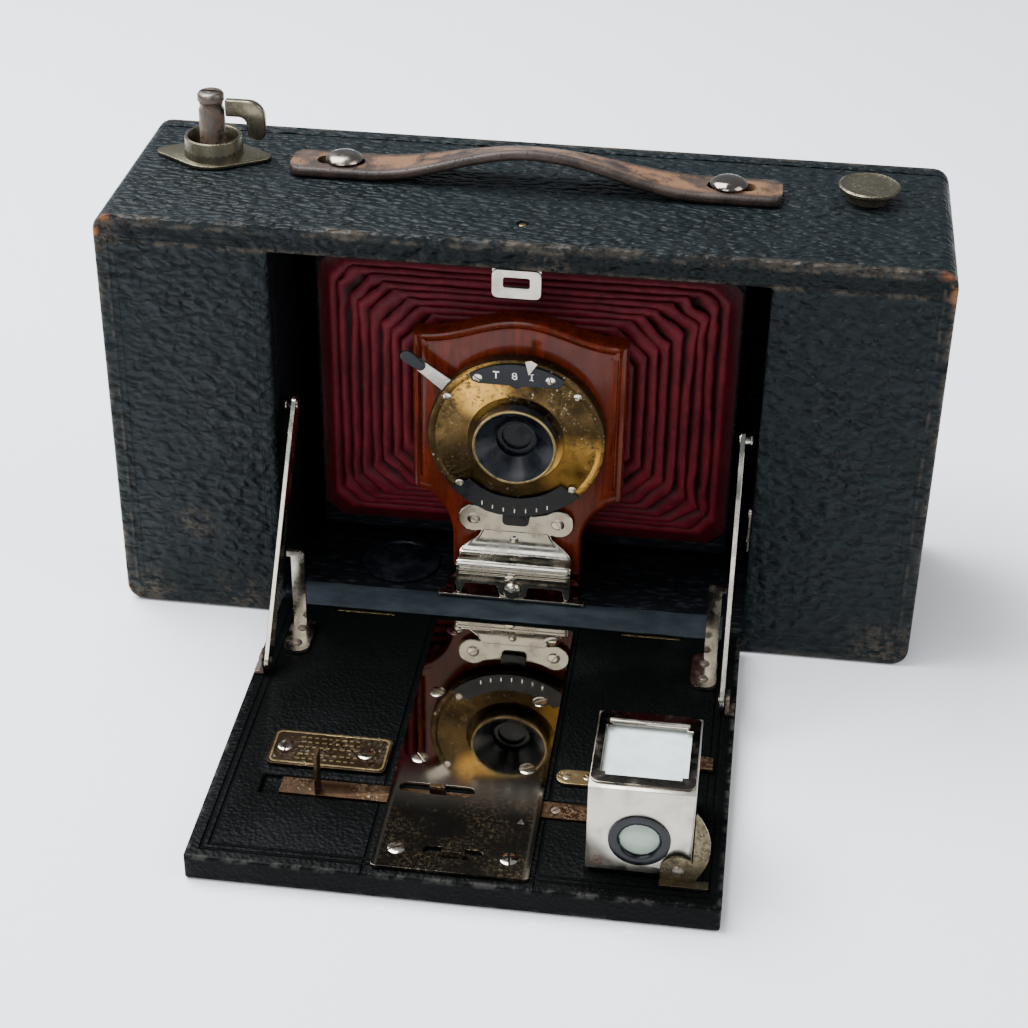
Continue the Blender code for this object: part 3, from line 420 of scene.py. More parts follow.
def track_nickel(color):
    """The track plate: a nickel mirror at the back, blackened and pitted towards the front."""
    f = Finish("track_nickel", color, 0.05, 1.0)
    front = f.fade(f.axis("Y"), deep(-64) * MM, deep(-88) * MM)
    mottle = f.noise(0.0032, 6.0, 0.72)
    gone = f.maths("MULTIPLY", f.fade(mottle, 0.22, 0.40), front)
    rim = f.maths("ABSOLUTE", f.maths("SUBTRACT", f.axis("X"), (TRACK_LOW.x + TRACK_HIGH.x) / 2 * MM))
    wide = TRACK_HIGH.x - TRACK_LOW.x
    rim = f.fade(rim, (wide - 3.5) / 2 * MM, (wide - 1.0) / 2 * MM)
    gone = f.maths("MULTIPLY", gone, f.maths("SUBTRACT", 1.0, f.maths("MULTIPLY", rim, 0.8)))
    haze = f.fade(f.noise(0.012, 5.0, 0.6), 0.4, 0.75)
    tone = f.mix(f.maths("MULTIPLY", haze, 0.5), tuple(c * 0.8 for c in color), (0.36, 0.31, 0.25))
    grit = f.fade(f.noise(0.0010, 5.0, 0.8), 0.50, 0.60)
    gold = f.mix(f.maths("MULTIPLY", grit, f.fade(f.noise(0.01, 3.0), 0.35, 0.6)), (0.020, 0.018, 0.015),
                 (0.150, 0.110, 0.062))
    specks = f.fade(f.noise(0.0008, 3.0, 0.7), 0.67, 0.73)
    tone = f.mix(f.maths("MULTIPLY", specks, 0.6), tone, (0.10, 0.07, 0.045))
    f.color(f.mix(gone, tone, gold))
    f.roughness(f.maths("ADD", f.fade(haze, 0.0, 1.0, 0.025, 0.06), f.maths("MULTIPLY", gone, 0.12)))
    f.metallic(f.fade(gone, 0.0, 1.0, 1.0, 0.85))
    f.bump(f.maths("MULTIPLY", mottle, gone), 0.00003, 0.3)
    return f.material


def aged_brass(name, color, speckle=0.5, painted_highlights=()):
    """Brass gone brown, speckled with corrosion, with golden patches painted in as highlights."""
    f = Finish(name, color, 0.32, 1.0)
    cloud = f.noise(0.009, 5.0, 0.65)
    dark = tuple(c * 0.42 for c in color)
    tone = f.mix(f.fade(cloud, 0.35, 0.68), color, dark)
    # Painted highlights: golden patches round the given points stand in for reflections on the turned brass.
    for centre, radius in painted_highlights:
        highlight_patch = f.maths("MULTIPLY", f.spot(centre, radius, radius * 0.45), f.fade(cloud, 0.74, 0.5))
        tone = f.mix(highlight_patch, tone, (0.62, 0.34, 0.075))
    grit = f.fade(f.noise(0.0011, 5.0, 0.8), 0.50, 0.60)
    place = f.fade(f.noise(0.014, 3.0, 0.5), 0.38, 0.56)
    pits = f.maths("MULTIPLY", f.maths("MULTIPLY", grit, place), speckle)
    tone = f.mix(pits, tone, (0.045, 0.035, 0.025))
    specks = f.fade(f.noise(0.0012, 3.0, 0.75), 0.63, 0.70)
    light = f.maths("MULTIPLY", specks, f.maths("MULTIPLY", place, speckle))
    f.color(f.mix(light, tone, (0.52, 0.46, 0.34)))
    f.roughness(f.maths("ADD", f.fade(cloud, 0.3, 0.7, 0.24, 0.42), f.maths("MULTIPLY", pits, 0.3)))
    f.bump(f.maths("MULTIPLY", pits, -1.0), 0.00008, 0.6)
    return f.material


def enamel(name="black_enamel", chips=0.35):
    """Black enamel over brass, chipped to the metal here and there."""
    f = Finish(name, (0.004, 0.005, 0.007), 0.26, Specular_IOR_Level=0.28)
    chip = f.maths("MULTIPLY", f.fade(f.noise(0.0016, 4.0, 0.75), 0.66, 0.70), chips)
    haze = f.noise(0.005, 4.0)
    tone = f.mix(f.fade(haze, 0.4, 0.7), (0.003, 0.004, 0.006), (0.010, 0.012, 0.016))
    f.color(f.mix(chip, tone, (0.35, 0.27, 0.13)))
    f.metallic(chip)
    f.roughness(f.fade(haze, 0.3, 0.7, 0.18, 0.34))
    return f.material


def rusty_steel(name, color=(0.20, 0.185, 0.16), rust=0.7):
    f = Finish(name, color, 0.45, 0.9)
    bloom = f.noise(0.0028, 6.0, 0.72)
    eaten = f.maths("MULTIPLY", f.fade(bloom, 0.42, 0.60), rust)
    brown = f.mix(f.noise(0.0008, 3.0), (0.05, 0.026, 0.016), (0.15, 0.075, 0.04))
    f.color(f.mix(eaten, color, brown))
    f.metallic(f.fade(eaten, 0.0, 1.0, 0.95, 0.15))
    f.roughness(f.fade(eaten, 0.0, 1.0, 0.34, 0.78))
    f.bump(bloom, 0.00012, 0.5)
    return f.material


def strap_leather(color):
    """Old strap leather: dark and finely cracked, rubbed tan along its middle."""
    f = Finish("strap_leather", color, 0.5, Specular_IOR_Level=0.3)
    edge = f.node("ShaderNodeAttribute", attribute_name="edge").outputs["Fac"]
    crack = f.fade(f.noise(0.0016, 4.0, 0.7, f.stretched((1.6, 0.5, 1.0))), 0.60, 0.68)
    cloud = f.noise(0.007, 5.0, 0.65)
    tone = f.mix(f.fade(cloud, 0.35, 0.7), tuple(c * 0.6 for c in color), tuple(c * 1.9 for c in color))
    rub = f.maths("MULTIPLY", f.fade(edge, 0.85, 0.45), f.fade(f.noise(0.009, 5.0, 0.65), 0.40, 0.58))
    tone = f.mix(f.maths("MULTIPLY", rub, 0.8), tone, (0.17, 0.085, 0.040))
    f.color(f.mix(f.maths("MULTIPLY", crack, 0.7), tone, (0.006, 0.0045, 0.004)))
    f.bump(f.maths("MULTIPLY", crack, -1.0), 0.0002, 0.5)
    f.bump(f.noise(0.0008, 3.0), 0.0002, 0.5)
    return f.material


def clear_glass(name, color=(0.92, 0.95, 0.95), **sockets):
    f = Finish(name, color, 0.02, 0.0, Transmission_Weight=1.0, IOR=1.5, **sockets)
    f.roughness(f.fade(f.noise(0.004, 4.0), 0.5, 0.8, 0.01, 0.06))
    return f.material


def frosted_glass():
    """The finder's ground glass, milky with a few marks."""
    f = Finish("frosted_glass", (0.62, 0.70, 0.68), 0.45, Specular_IOR_Level=0.5)
    cloud = f.noise(0.008, 4.0, 0.6)
    f.color(f.mix(f.fade(cloud, 0.3, 0.75), (0.66, 0.73, 0.70), (0.47, 0.55, 0.53)))
    f.roughness(f.fade(cloud, 0.3, 0.7, 0.35, 0.55))
    f.bump(f.noise(0.0003, 2.0), 0.00003, 0.4)
    return f.material


def silvered():
    f = Finish("silvered_glass", (0.85, 0.86, 0.86), 0.04, 1.0)
    spots = f.fade(f.noise(0.002, 4.0, 0.7), 0.62, 0.72)
    f.color(f.mix(spots, (0.85, 0.86, 0.86), (0.35, 0.33, 0.30)))
    f.roughness(f.fade(spots, 0.0, 1.0, 0.03, 0.3))
    return f.material


def turned_wood():
    f = Finish("spool_wood", (0.36, 0.23, 0.11), 0.55)
    grain = f.noise(0.0012, 5.0, 0.6, f.stretched((1.0, 1.0, 0.08)), 0.4)
    f.color(f.mix(f.fade(grain, 0.3, 0.7), (0.24, 0.14, 0.06), (0.46, 0.31, 0.16)))
    f.bump(grain, 0.0001, 0.4)
    return f.material


def floor_paper(color):
    f = Finish("pale_paper", color, 0.75)
    f.color(f.mix(f.fade(f.noise(0.4, 3.0), 0.3, 0.7), color, tuple(c * 0.985 for c in color)))
    f.bump(f.noise(0.0015, 3.0), 0.0001, 0.15)
    return f.material


FINISHES = {}


def build_finishes():
    """Makes every finish once, from the settings."""
    scene = bpy.context.scene
    case, board, metal = scene.camera_case, scene.camera_standard, scene.camera_metal
    plate = tuple(metal.nickel_color)
    brass = tuple(board.brass_color)
    # Painted highlights on the shutter face, up left and down right of the lens axis.
    painted_highlights = (((AXIS.x - 9, AXIS.y, AXIS.z + 14), 7.0), ((AXIS.x + 17, AXIS.y, AXIS.z - 8), 9.0))
    FINISHES.update(
        leatherette=leatherette(tuple(case.leather_color)),
        fine_leather=fine_leather(),
        lining=inner_cloth(),
        hinge_cloth=hinge_leather(),
        bellows=bellows_leather(tuple(scene.camera_bellows.leather_color)),
        mahogany=mahogany(tuple(board.wood_color)),
        nickel=nickel("nickel", plate, 0.35),
        worn_nickel=nickel("worn_nickel", plate, 0.7, 0.45),
        track=track_nickel(plate),
        finder_nickel=nickel("finder_nickel", (0.50, 0.465, 0.395), 0.35, 0.0, 0.17),
        bronze=nickel("finder_bronze", (0.20, 0.175, 0.15), 0.7),
        shutter_brass=aged_brass("shutter_brass", brass, 0.9, painted_highlights),
        brass=aged_brass("old_brass", (0.36, 0.27, 0.13), 0.6),
        red_brass=aged_brass("red_brass", (0.13, 0.075, 0.042), 0.9),
        grey_brass=aged_brass("grey_brass", (0.215, 0.190, 0.130), 0.5),
        enamel=enamel(),
        hood_enamel=enamel("hood_enamel", 0.12),
        scale_enamel=aged_brass("scale_enamel", (0.055, 0.036, 0.020), 0.9),
        rusty=rusty_steel("rusty_steel", (0.13, 0.115, 0.10), 0.8),
        steel=rusty_steel("dull_steel", (0.24, 0.22, 0.185), 0.45),
        dark_brass=aged_brass("dark_brass", (0.14, 0.115, 0.07), 0.7),
        screw=nickel("screw_nickel", (0.60, 0.55, 0.47), 0.6),
        strap=strap_leather(tuple(scene.camera_handle.leather_color)),
        lens=clear_glass("lens_glass", (0.86, 0.92, 0.97)),
        finder_lens=clear_glass("finder_lens_glass", (0.86, 0.92, 0.84)),
        ground=frosted_glass(),
        mirror=silvered(),
        wood=turned_wood(),
        ruby=clear_glass("ruby_glass", (0.55, 0.01, 0.01)),
        engraving=nickel("engraving_white", (0.62, 0.60, 0.55), 0.3),
    )


# ------------------------------------------------------------------ mesh helpers

def finished(name, bm, finish, body, nodes=(), sharp=40, weld=0.002, solid=True):
    """Turns a mesh in millimetres into a finished piece that rides on a body."""
    if weld:
        bmesh.ops.remove_doubles(bm, verts=bm.verts, dist=weld)
    if solid:
        bmesh.ops.recalc_face_normals(bm, faces=bm.faces)
    bmesh.ops.scale(bm, vec=(MM, MM, MM), verts=bm.verts)
    mesh = bpy.data.meshes.new(name)
    bm.to_mesh(mesh)
    bm.free()
    return placed(name, mesh, finish, body, nodes, sharp)


def placed(name, mesh, finish, body, nodes=(), sharp=40):
    obj = bpy.data.objects.new(name, mesh)
    bpy.context.scene.collection.objects.link(obj)
    if finish:
        mesh.materials.clear()
        mesh.materials.append(FINISHES[finish])
    mesh.shade_smooth()
    mesh.set_sharp_from_angle(angle=math.radians(sharp))
    if body:
        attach(obj, body)
    if nodes:
        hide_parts(*nodes)
    return obj


def evaluated(obj):
    """An object's shape with its modifiers applied, as a new mesh; the object is removed."""
    bpy.context.view_layer.update()
    mesh = bpy.data.meshes.new_from_object(obj.evaluated_get(bpy.context.evaluated_depsgraph_get()))
    bpy.data.objects.remove(obj, do_unlink=True)
    return mesh


def working(name, bm_or_mesh, scale=MM):
    """A temporary object for modifiers to work on."""
    mesh = bm_or_mesh
    if isinstance(bm_or_mesh, bmesh.types.BMesh):
        bmesh.ops.scale(bm_or_mesh, vec=(scale, scale, scale), verts=bm_or_mesh.verts)
        mesh = bpy.data.meshes.new(name)
        bm_or_mesh.to_mesh(mesh)
        bm_or_mesh.free()
    obj = bpy.data.objects.new(name + "_work", mesh)
    bpy.context.scene.collection.objects.link(obj)
    return obj


def carve(obj, tools, operation="DIFFERENCE"):
    """Cuts or joins blocks, given as bmeshes in millimetres, with an object."""
    helpers = []
    for tool in tools:
        bmesh.ops.recalc_face_normals(tool, faces=tool.faces)
        helper = working("tool", tool)
        modifier = obj.modifiers.new("carve", "BOOLEAN")
        modifier.operation = operation
        modifier.solver = "EXACT"
        modifier.object = helper
        helpers.append(helper)
    mesh = evaluated(obj)
    for helper in helpers:
        bpy.data.objects.remove(helper, do_unlink=True)
    return mesh


def rounded_edges(mesh, width, segments=2, angle=35):
    """A copy of a mesh with its sharp edges rounded; width in millimetres."""
    bm = bmesh.new()
    bm.from_mesh(mesh)
    bmesh.ops.remove_doubles(bm, verts=bm.verts, dist=0.000004)
    bmesh.ops.dissolve_limit(bm, angle_limit=math.radians(0.6), verts=bm.verts, edges=bm.edges)
    clean = bpy.data.meshes.new(mesh.name + "_clean")
    bm.to_mesh(clean)
    bm.free()
    obj = working(mesh.name, clean)
    if width > 0:
        bevel = obj.modifiers.new("round", "BEVEL")
        bevel.width = width * MM
        bevel.segments = segments
        bevel.limit_method = "ANGLE"
        bevel.angle_limit = math.radians(angle)
        bevel.harden_normals = False
        bevel.use_clamp_overlap = True
    return evaluated(obj)


def soften(node, finish, width=0.25, sharp=21, segments=2, angle=35):
    """A CAD node again with its edges rounded, in place of the plain one."""
    mesh = rounded_edges(frame["nodes"][node].data, width, segments, angle)
    obj = placed(node + "_finished", mesh, finish, body_of(node), (node,), sharp)
    return obj


def body_of(node):
    for body, nodes in frame["record"]["behaviour"]["bodies"].items():
        if node in nodes:
            return body
    raise ValueError(f"no body holds {node}")


def block(x, y, z):
    bm = bmesh.new()
    bmesh.ops.create_cube(bm, size=1.0)
    middle = Vector((sum(x) / 2, sum(y) / 2, sum(z) / 2))
    size = (x[1] - x[0], y[1] - y[0], z[1] - z[0])
    for vert in bm.verts:
        vert.co = Vector([c * s for c, s in zip(vert.co, size)]) + middle
    return bm


TURN = {"X": Matrix.Rotation(math.radians(90), 3, "Y"), "Y": Matrix.Rotation(math.radians(-90), 3, "X"),
        "Z": Matrix.Identity(3)}


def turn_profile(profile, axis, centre, segments=96, closed=True):
    """A (radius, height) profile turned about an axis through a centre."""
    bm = bmesh.new()
    rings = []
    for radius, height in profile:
        if radius < 0.001:
            point = bm.verts.new(TURN[axis] @ Vector((0, 0, height)) + Vector(centre))
            rings.append([point] * segments)
            continue
        ring = []
        for i in range(segments):
            angle = 2 * math.pi * i / segments
            local = Vector((radius * math.cos(angle), radius * math.sin(angle), height))
            ring.append(bm.verts.new(TURN[axis] @ local + Vector(centre)))
        rings.append(ring)
    pairs = list(zip(rings, rings[1:] + rings[:1])) if closed else list(zip(rings, rings[1:]))
    for a, b in pairs:
        for i in range(segments):
            j = (i + 1) % segments
            corners = []
            for vert in (a[i], a[j], b[j], b[i]):
                if vert not in corners:
                    corners.append(vert)
            if len(corners) > 2:
                bm.faces.new(corners)
    return bm


def arc(centre, radius, start, end, steps):
    points = []
    for i in range(steps + 1):
        angle = math.radians(start + (end - start) * i / steps)
        points.append((centre[0] + radius * math.cos(angle), centre[1] + radius * math.sin(angle)))
    return points


def rounded(u, v, radius, steps=5):
    corners = ((u[1], v[1], 0), (u[0], v[1], 90), (u[0], v[0], 180), (u[1], v[0], 270))
    points = []
    for cu, cv, start in corners:
        centre = (cu - math.copysign(radius, cu - sum(u) / 2), cv - math.copysign(radius, cv - sum(v) / 2))
        points += arc(centre, radius, start, start + 90, steps)
    return points


def slab(outlines, axis, span):
    """A flat plate with optional holes between two limits on an axis."""
    bm = bmesh.new()
    edges = []
    for outline in outlines:
        verts = []
        for u, v in outline:
            place = {"Z": (u, v, span[0]), "Y": (u, span[0], v), "X": (span[0], u, v)}[axis]
            verts.append(bm.verts.new(place))
        edges += [bm.edges.new((a, b)) for a, b in zip(verts, verts[1:] + verts[:1])]
    bmesh.ops.triangle_fill(bm, use_beauty=True, use_dissolve=False, edges=edges)
    along = {"Z": (0, 0, 1), "Y": (0, 1, 0), "X": (1, 0, 0)}[axis]
    extruded = bmesh.ops.extrude_face_region(bm, geom=list(bm.faces))
    moved = [g for g in extruded["geom"] if isinstance(g, bmesh.types.BMVert)]
    bmesh.ops.translate(bm, vec=Vector(along) * (span[1] - span[0]), verts=moved)
    return bm


def smooth_slab(name, outlines, axis, span, finish, body, nodes=(), width=0.2):
    bm = slab(outlines, axis, span)
    bmesh.ops.recalc_face_normals(bm, faces=bm.faces)
    mesh = rounded_edges(evaluated(working(name, bm)), width)
    return placed(name, mesh, finish, body, nodes, 21)


# ------------------------------------------------------------------ fastenings by Geometry Nodes

def screw_head(name, radius, rise, slotted=True):
    """One head pointing up at the origin: low dome, optionally with a driver slot."""
    profile = [(0, rise), (radius * 0.55, rise * 0.94), (radius * 0.86, rise * 0.62), (radius, 0.06),
               (radius, -0.3), (0, -0.3)]
    obj = working(name, turn_profile(profile, "Z", (0, 0, 0), 28, closed=False))
    if not slotted:
        mesh = evaluated(obj)
    else:
        mesh = carve(obj, [block((-radius * 1.2, radius * 1.2), (-radius * 0.13, radius * 0.13),
                                 (rise * 0.1 - 0.1, rise + 1))])
    head = bpy.data.objects.new(name, mesh)
    bpy.context.scene.collection.objects.link(head)
    mesh.shade_smooth()
    mesh.set_sharp_from_angle(angle=math.radians(35))
    return head


def fastening_tree():
    """Heads set on points, each turned by its own angle and tipped to its surface."""
    tree = bpy.data.node_groups.new("fastenings", "GeometryNodeTree")
    face = tree.interface
    face.new_socket("Geometry", in_out="INPUT", socket_type="NodeSocketGeometry")
    face.new_socket("Head", in_out="INPUT", socket_type="NodeSocketObject")
    face.new_socket("Tilt", in_out="INPUT", socket_type="NodeSocketVector")
    face.new_socket("Finish", in_out="INPUT", socket_type="NodeSocketMaterial")
    face.new_socket("Seed", in_out="INPUT", socket_type="NodeSocketInt")
    face.new_socket("Geometry", in_out="OUTPUT", socket_type="NodeSocketGeometry")
    nodes, links = tree.nodes, tree.links
    start, end = nodes.new("NodeGroupInput"), nodes.new("NodeGroupOutput")
    info = nodes.new("GeometryNodeObjectInfo")
    info.inputs["As Instance"].default_value = True
    instance = nodes.new("GeometryNodeInstanceOnPoints")
    spin = nodes.new("FunctionNodeRandomValue")
    spin.data_type = "FLOAT"
    spin.inputs[2].default_value = 0.0
    spin.inputs[3].default_value = math.pi
    turn = nodes.new("ShaderNodeCombineXYZ")
    size = nodes.new("GeometryNodeInputNamedAttribute")
    size.data_type = "FLOAT"
    size.inputs["Name"].default_value = "size"
    local = nodes.new("GeometryNodeRotateInstances")
    real = nodes.new("GeometryNodeRealizeInstances")
    paint = nodes.new("GeometryNodeSetMaterial")
    links.new(start.outputs["Head"], info.inputs["Object"])
    links.new(start.outputs["Geometry"], instance.inputs["Points"])
    links.new(info.outputs["Geometry"], instance.inputs["Instance"])
    links.new(start.outputs["Tilt"], instance.inputs["Rotation"])
    links.new(size.outputs["Attribute"], instance.inputs["Scale"])
    links.new(start.outputs["Seed"], spin.inputs["Seed"])
    links.new(spin.outputs[1], turn.inputs["Z"])
    links.new(instance.outputs["Instances"], local.inputs["Instances"])
    links.new(turn.outputs["Vector"], local.inputs["Rotation"])
    links.new(local.outputs["Instances"], real.inputs["Geometry"])
    links.new(real.outputs["Geometry"], paint.inputs["Geometry"])
    links.new(start.outputs["Finish"], paint.inputs["Material"])
    links.new(paint.outputs["Geometry"], end.inputs["Geometry"])
    return tree


FACING = {
    "up": (0.0, 0.0, 0.0),
    "front": (math.radians(90), 0.0, 0.0),
    "back": (math.radians(-90), 0.0, 0.0),
    "left": (0.0, math.radians(-90), 0.0),
    "right": (0.0, math.radians(90), 0.0),
}


def fastenings(name, points, head, facing, finish, body, seed=1):
    """A group of heads at (x, y, z, size) points as one plain mesh on one body."""
    tree = bpy.data.node_groups.get("fastenings") or fastening_tree()
    mesh = bpy.data.meshes.new(name + "_points")
    mesh.from_pydata([(x * MM, y * MM, z * MM) for x, y, z, size in points], [], [])
    mesh.attributes.new("size", "FLOAT", "POINT").data.foreach_set("value", [p[3] for p in points])
    holder = working(name, mesh)
    modifier = holder.modifiers.new("fastenings", "NODES")
    modifier.node_group = tree
    values = {"Head": head, "Tilt": FACING[facing], "Finish": FINISHES[finish], "Seed": seed}
    for item in tree.interface.items_tree:
        if item.in_out == "INPUT" and item.name in values:
            modifier[item.identifier] = values[item.name]
    mesh = evaluated(holder)
    return placed(name, mesh, finish, body, (), 35)


# ------------------------------------------------------------------ the case

def case_skin(settings):
    """The leather-covered wooden body in one piece: outside, lips of the opening and lined inside."""
    radius = settings.corner_radius / MM
    back = deep(59.0)
    outline = rounded((CASE_LOW.x, CASE_HIGH.x), (CASE_LOW.z, CASE_HIGH.z), radius, 6)
    body = working("case", slab([outline], "Y", (FRONT, back)))
    inner_x = CASE_HIGH.x - WALL
    room = block((-inner_x, inner_x), (deep(PANEL_DEPTH), back + 5), (FLOOR_TOP, ROOF))
    opening = block((-OPEN_HALF, OPEN_HALF), (FRONT - 5, deep(PANEL_DEPTH + 1)), (FLOOR_TOP, ROOF))
    hollow = carve(body, [room, opening])
    mesh = rounded_edges(hollow, settings.edge_radius / MM, 3, 50)
    body = working("case", mesh)
    pocket = block((-47.3, 47.3), (FRONT - 5, deep(6.3)), (5.6, 9))
    release = turn_profile([(0, 20), (1.6, 20), (1.6, -20), (0, -20)], "Z",
                           (0, deep(11.9), CASE_HIGH.z), 32, closed=False)
    bush = turn_profile([(0, 20), (7.9, 20), (7.9, -20), (0, -20)], "Z",
                        (BUSH_X, deep(BUSH_DEPTH), 0), 48, closed=False)
    stem_holes = [turn_profile([(0, 6), (r, 6), (r, -9), (0, -9)], "Z",
                               (x, deep(SPOOL_DEPTH), CASE_HIGH.z), 32, closed=False)
                  for x, r in ((-86, 4.2), (86, 2.6))]
    mesh = carve(body, [pocket, release, bush, *stem_holes])
    mesh.materials.clear()
    mesh.materials.append(FINISHES["leatherette"])
    mesh.materials.append(FINISHES["lining"])
    for face in mesh.polygons:
        x, y, z = (c / MM for c in face.center)
        inside_box = abs(x) < inner_x + 0.6 and FLOOR_TOP - 0.6 < z < ROOF + 0.6
        lip = y < deep(1.2)
        if inside_box and not lip and (y > deep(PANEL_DEPTH - 0.5) or abs(x) < OPEN_HALF + 0.6):
            face.material_index = 1
    placed("case_leather", mesh, None, "case",
           ("case_top_board", "case_bottom_board", "case_end_left", "case_end_right",
            "front_panel_left", "front_panel_right"), 32)


def border_lines():
    """Raised double fillets pressed into the leather round the front panels."""
    for side, word in ((-1, "left"), (1, "right")):
        inner, outer = side * (OPEN_HALF + 2.2), side * (CASE_HIGH.x - 3.4)
        for k, inset in enumerate((0.0, 1.6)):
            u = sorted((inner + side * inset, outer - side * inset))
            v = (CASE_LOW.z + 4.4 + inset, CASE_HIGH.z - 4.4 - inset)
            inner_edge = rounded((u[0] + 0.5, u[1] - 0.5), (v[0] + 0.5, v[1] - 0.5), 0.8, 3)
            rim = [rounded(u, v, 1.2, 3), inner_edge]
            smooth_slab(f"panel_fillet_{word}_{k}", rim, "Y", (FRONT - 0.08, FRONT + 0.2), "leatherette",
                        "case", (), 0.06)


def back_pieces():
    soften("back_cover", "leatherette", 1.0, 32, 3, 40)
    soften("back_catch", "brass", 0.4)
    y = deep(63.5)
    ring = turn_profile([(6.0, 0.35), (7.9, 0.35), (8.3, 0.0), (8.3, -0.2), (6.0, -0.2)], "Y",
                        (WINDOW_X, y, AXIS.z), 64)
    finished("window_ring", ring, "brass", "back")
    glass = turn_profile([(0, -1.2), (5.6, -1.4), (6.0, -1.8), (6.0, -2.9), (0, -2.9)], "Y",
                         (WINDOW_X, y, AXIS.z), 64,
                         closed=False)
    finished("window_glass", glass, "ruby", "back", ("red_window",))


def interior():
    for node in ("chamber_wall_left", "chamber_wall_right", "film_gate"):
        soften(node, "lining", 0.4)
    soften("bellows_frame", "lining", 0.5)
    for node in ("film_roller_left", "film_roller_right"):
        soften(node, "steel", 0.0, 40)
    for node in ("takeup_spool", "supply_spool"):
        soften(node, "wood", 0.15, 40)
    soften("inner_track", "track", 0.15)
    soften("hinge_plate", "brass", 0.1)
    soften("release_pin", "brass", 0.1, 40)
    soften("catch_bail", "finder_nickel", 0.22)
    bush = turn_profile([(0, 8.15), (3.4, 8.15), (3.8, 7.95), (8.6, 7.95), (9.0, 8.3), (10.2, 8.3),
                         (10.8, 8.0),
                         (10.8, 7.3), (7.5, 7.3), (7.5, 0.4), (3.2, 0.4), (3.2, 6.3), (0, 6.3)],
                        "Z", (BUSH_X, deep(BUSH_DEPTH), 0), 96)
    finished("tripod_bush", bush, "hood_enamel", "case", ("tripod_socket",))
    plate = rounded((deep(9.0), deep(14.5)), (26.0, 40.0), 1.2)
    smooth_slab("stop_plate", [plate], "X", (OPEN_HALF - 0.9, OPEN_HALF - 0.1), "worn_nickel",
                "case",
                (), 0.15)
    screws = [(OPEN_HALF - 0.9, deep(11.7), 29.0, 0.75), (OPEN_HALF - 0.9, deep(11.7), 37.0, 0.75)]
    fastenings("stop_plate_screws", screws, FINISHES["screw_head"], "left", "screw", "case", 7)


def hinge_strip():
    """Book cloth over the hinge."""
    low, high = (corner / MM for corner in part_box("hinge_cover"))
    bm = bmesh.new()
    across, along = 60, 14
    grid = []
    for i in range(across + 1):
        column = []
        for j in range(along + 1):
            x = low.x + (high.x - low.x) * i / across
            y = low.y + (high.y - low.y) * j / along
            wave = 0.10 * noise.noise(Vector((x * 0.11, y * 0.3, 3.0)))
            edge = 0.25 * (abs(2 * j / along - 1)) ** 6
            column.append(bm.verts.new((x, y + (wave * 2 if j in (0, along) else 0), high.z - edge + wave)))
        grid.append(column)
    for i in range(across):
        for j in range(along):
            bm.faces.new((grid[i][j], grid[i + 1][j], grid[i + 1][j + 1], grid[i][j + 1]))
    obj = working("hinge_cloth", bm)
    thick = obj.modifiers.new("cloth", "SOLIDIFY")
    thick.thickness = 0.35 * MM
    thick.offset = -1
    strip = placed("hinge_cloth", evaluated(obj), "hinge_cloth", None, ("hinge_cover",), 50)
    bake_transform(strip)


# ------------------------------------------------------------------ bellows

def bellows(settings):
    """Nested, mitred folds from the frame in the case down to the back of the lens board."""
    low, high = (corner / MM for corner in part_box("bellows"))
    front_half, front_z = 26.4, (41.2, 83.8)
    rear_half, rear_z = high.x, (low.z, high.z)
    rear_y, front_y = high.y - 0.2, low.y + 0.1
    depth = settings.fold_depth / MM
    folds = settings.folds
    pitch = (front_y - rear_y) / folds
    # The third value of each roll row is how lit the fold is painted, 1 on the ridge to 0 deep in the fold,
    # for painted shade and the ridge rub.
    roll = [(0.0, 0.35, 0.45), (0.10, -0.05, 0.9), (0.26, -0.28, 1.0), (0.46, -0.20, 0.85),
            (0.66, 0.15, 0.4),
            (0.84, 0.55, 0.0), (1.25, 0.40, 0.0)]
    stations = [(0.0, -2.6, rear_y + 0.45, 0.3)]
    for k in range(folds + 1):
        for inset, back, wear_and_fold_light in roll if k < folds else roll[:4]:
            stations.append((k / folds, inset * depth, rear_y + pitch * k + back, wear_and_fold_light))
    bm = bmesh.new()
    ridge = bm.verts.layers.float.new("ridge")
    rings = []
    for share, inset, y, wear_and_fold_light in stations:
        half = rear_half + (front_half - rear_half) * share - inset
        bottom = rear_z[0] + (front_z[0] - rear_z[0]) * share + inset
        top = rear_z[1] + (front_z[1] - rear_z[1]) * share - inset
        ring = []
        cut = 4.5 + 5.0 * share + 1.6 * noise.noise(Vector((round(share * folds) * 1.7, 4.0, 0)))
        for x, z, corner in mitred(half, bottom, top, cut, 22):
            wave = noise.noise(Vector((x * 0.035, z * 0.035, share * 9.0)))
            ripple = noise.noise(Vector((x * 0.22, z * 0.22, share * 17.0)))
            out = Vector((x, z - (bottom + top) / 2)).normalized() * (wave + (0.4 + 1.6 * corner) * ripple)
            out *= min(1, share * 8) * (1 - share)
            vert = bm.verts.new((x + out.x, y + (0.15 + 0.3 * corner) * ripple, z + out.y))
            vert[ridge] = wear_and_fold_light
            ring.append(vert)
        rings.append(ring)
    for a, b in zip(rings, rings[1:]):
        for i in range(len(a)):
            j = (i + 1) % len(a)
            bm.faces.new((a[i], a[j], b[j], b[i]))
    bmesh.ops.recalc_face_normals(bm, faces=bm.faces)
    obj = working("bellows", bm)
    wall = obj.modifiers.new("leather", "SOLIDIFY")
    wall.thickness = 0.22 * MM
    wall.offset = -1
    piece = placed("bellows_folds", evaluated(obj), "bellows", None, ("bellows",), 60)
    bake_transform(piece)


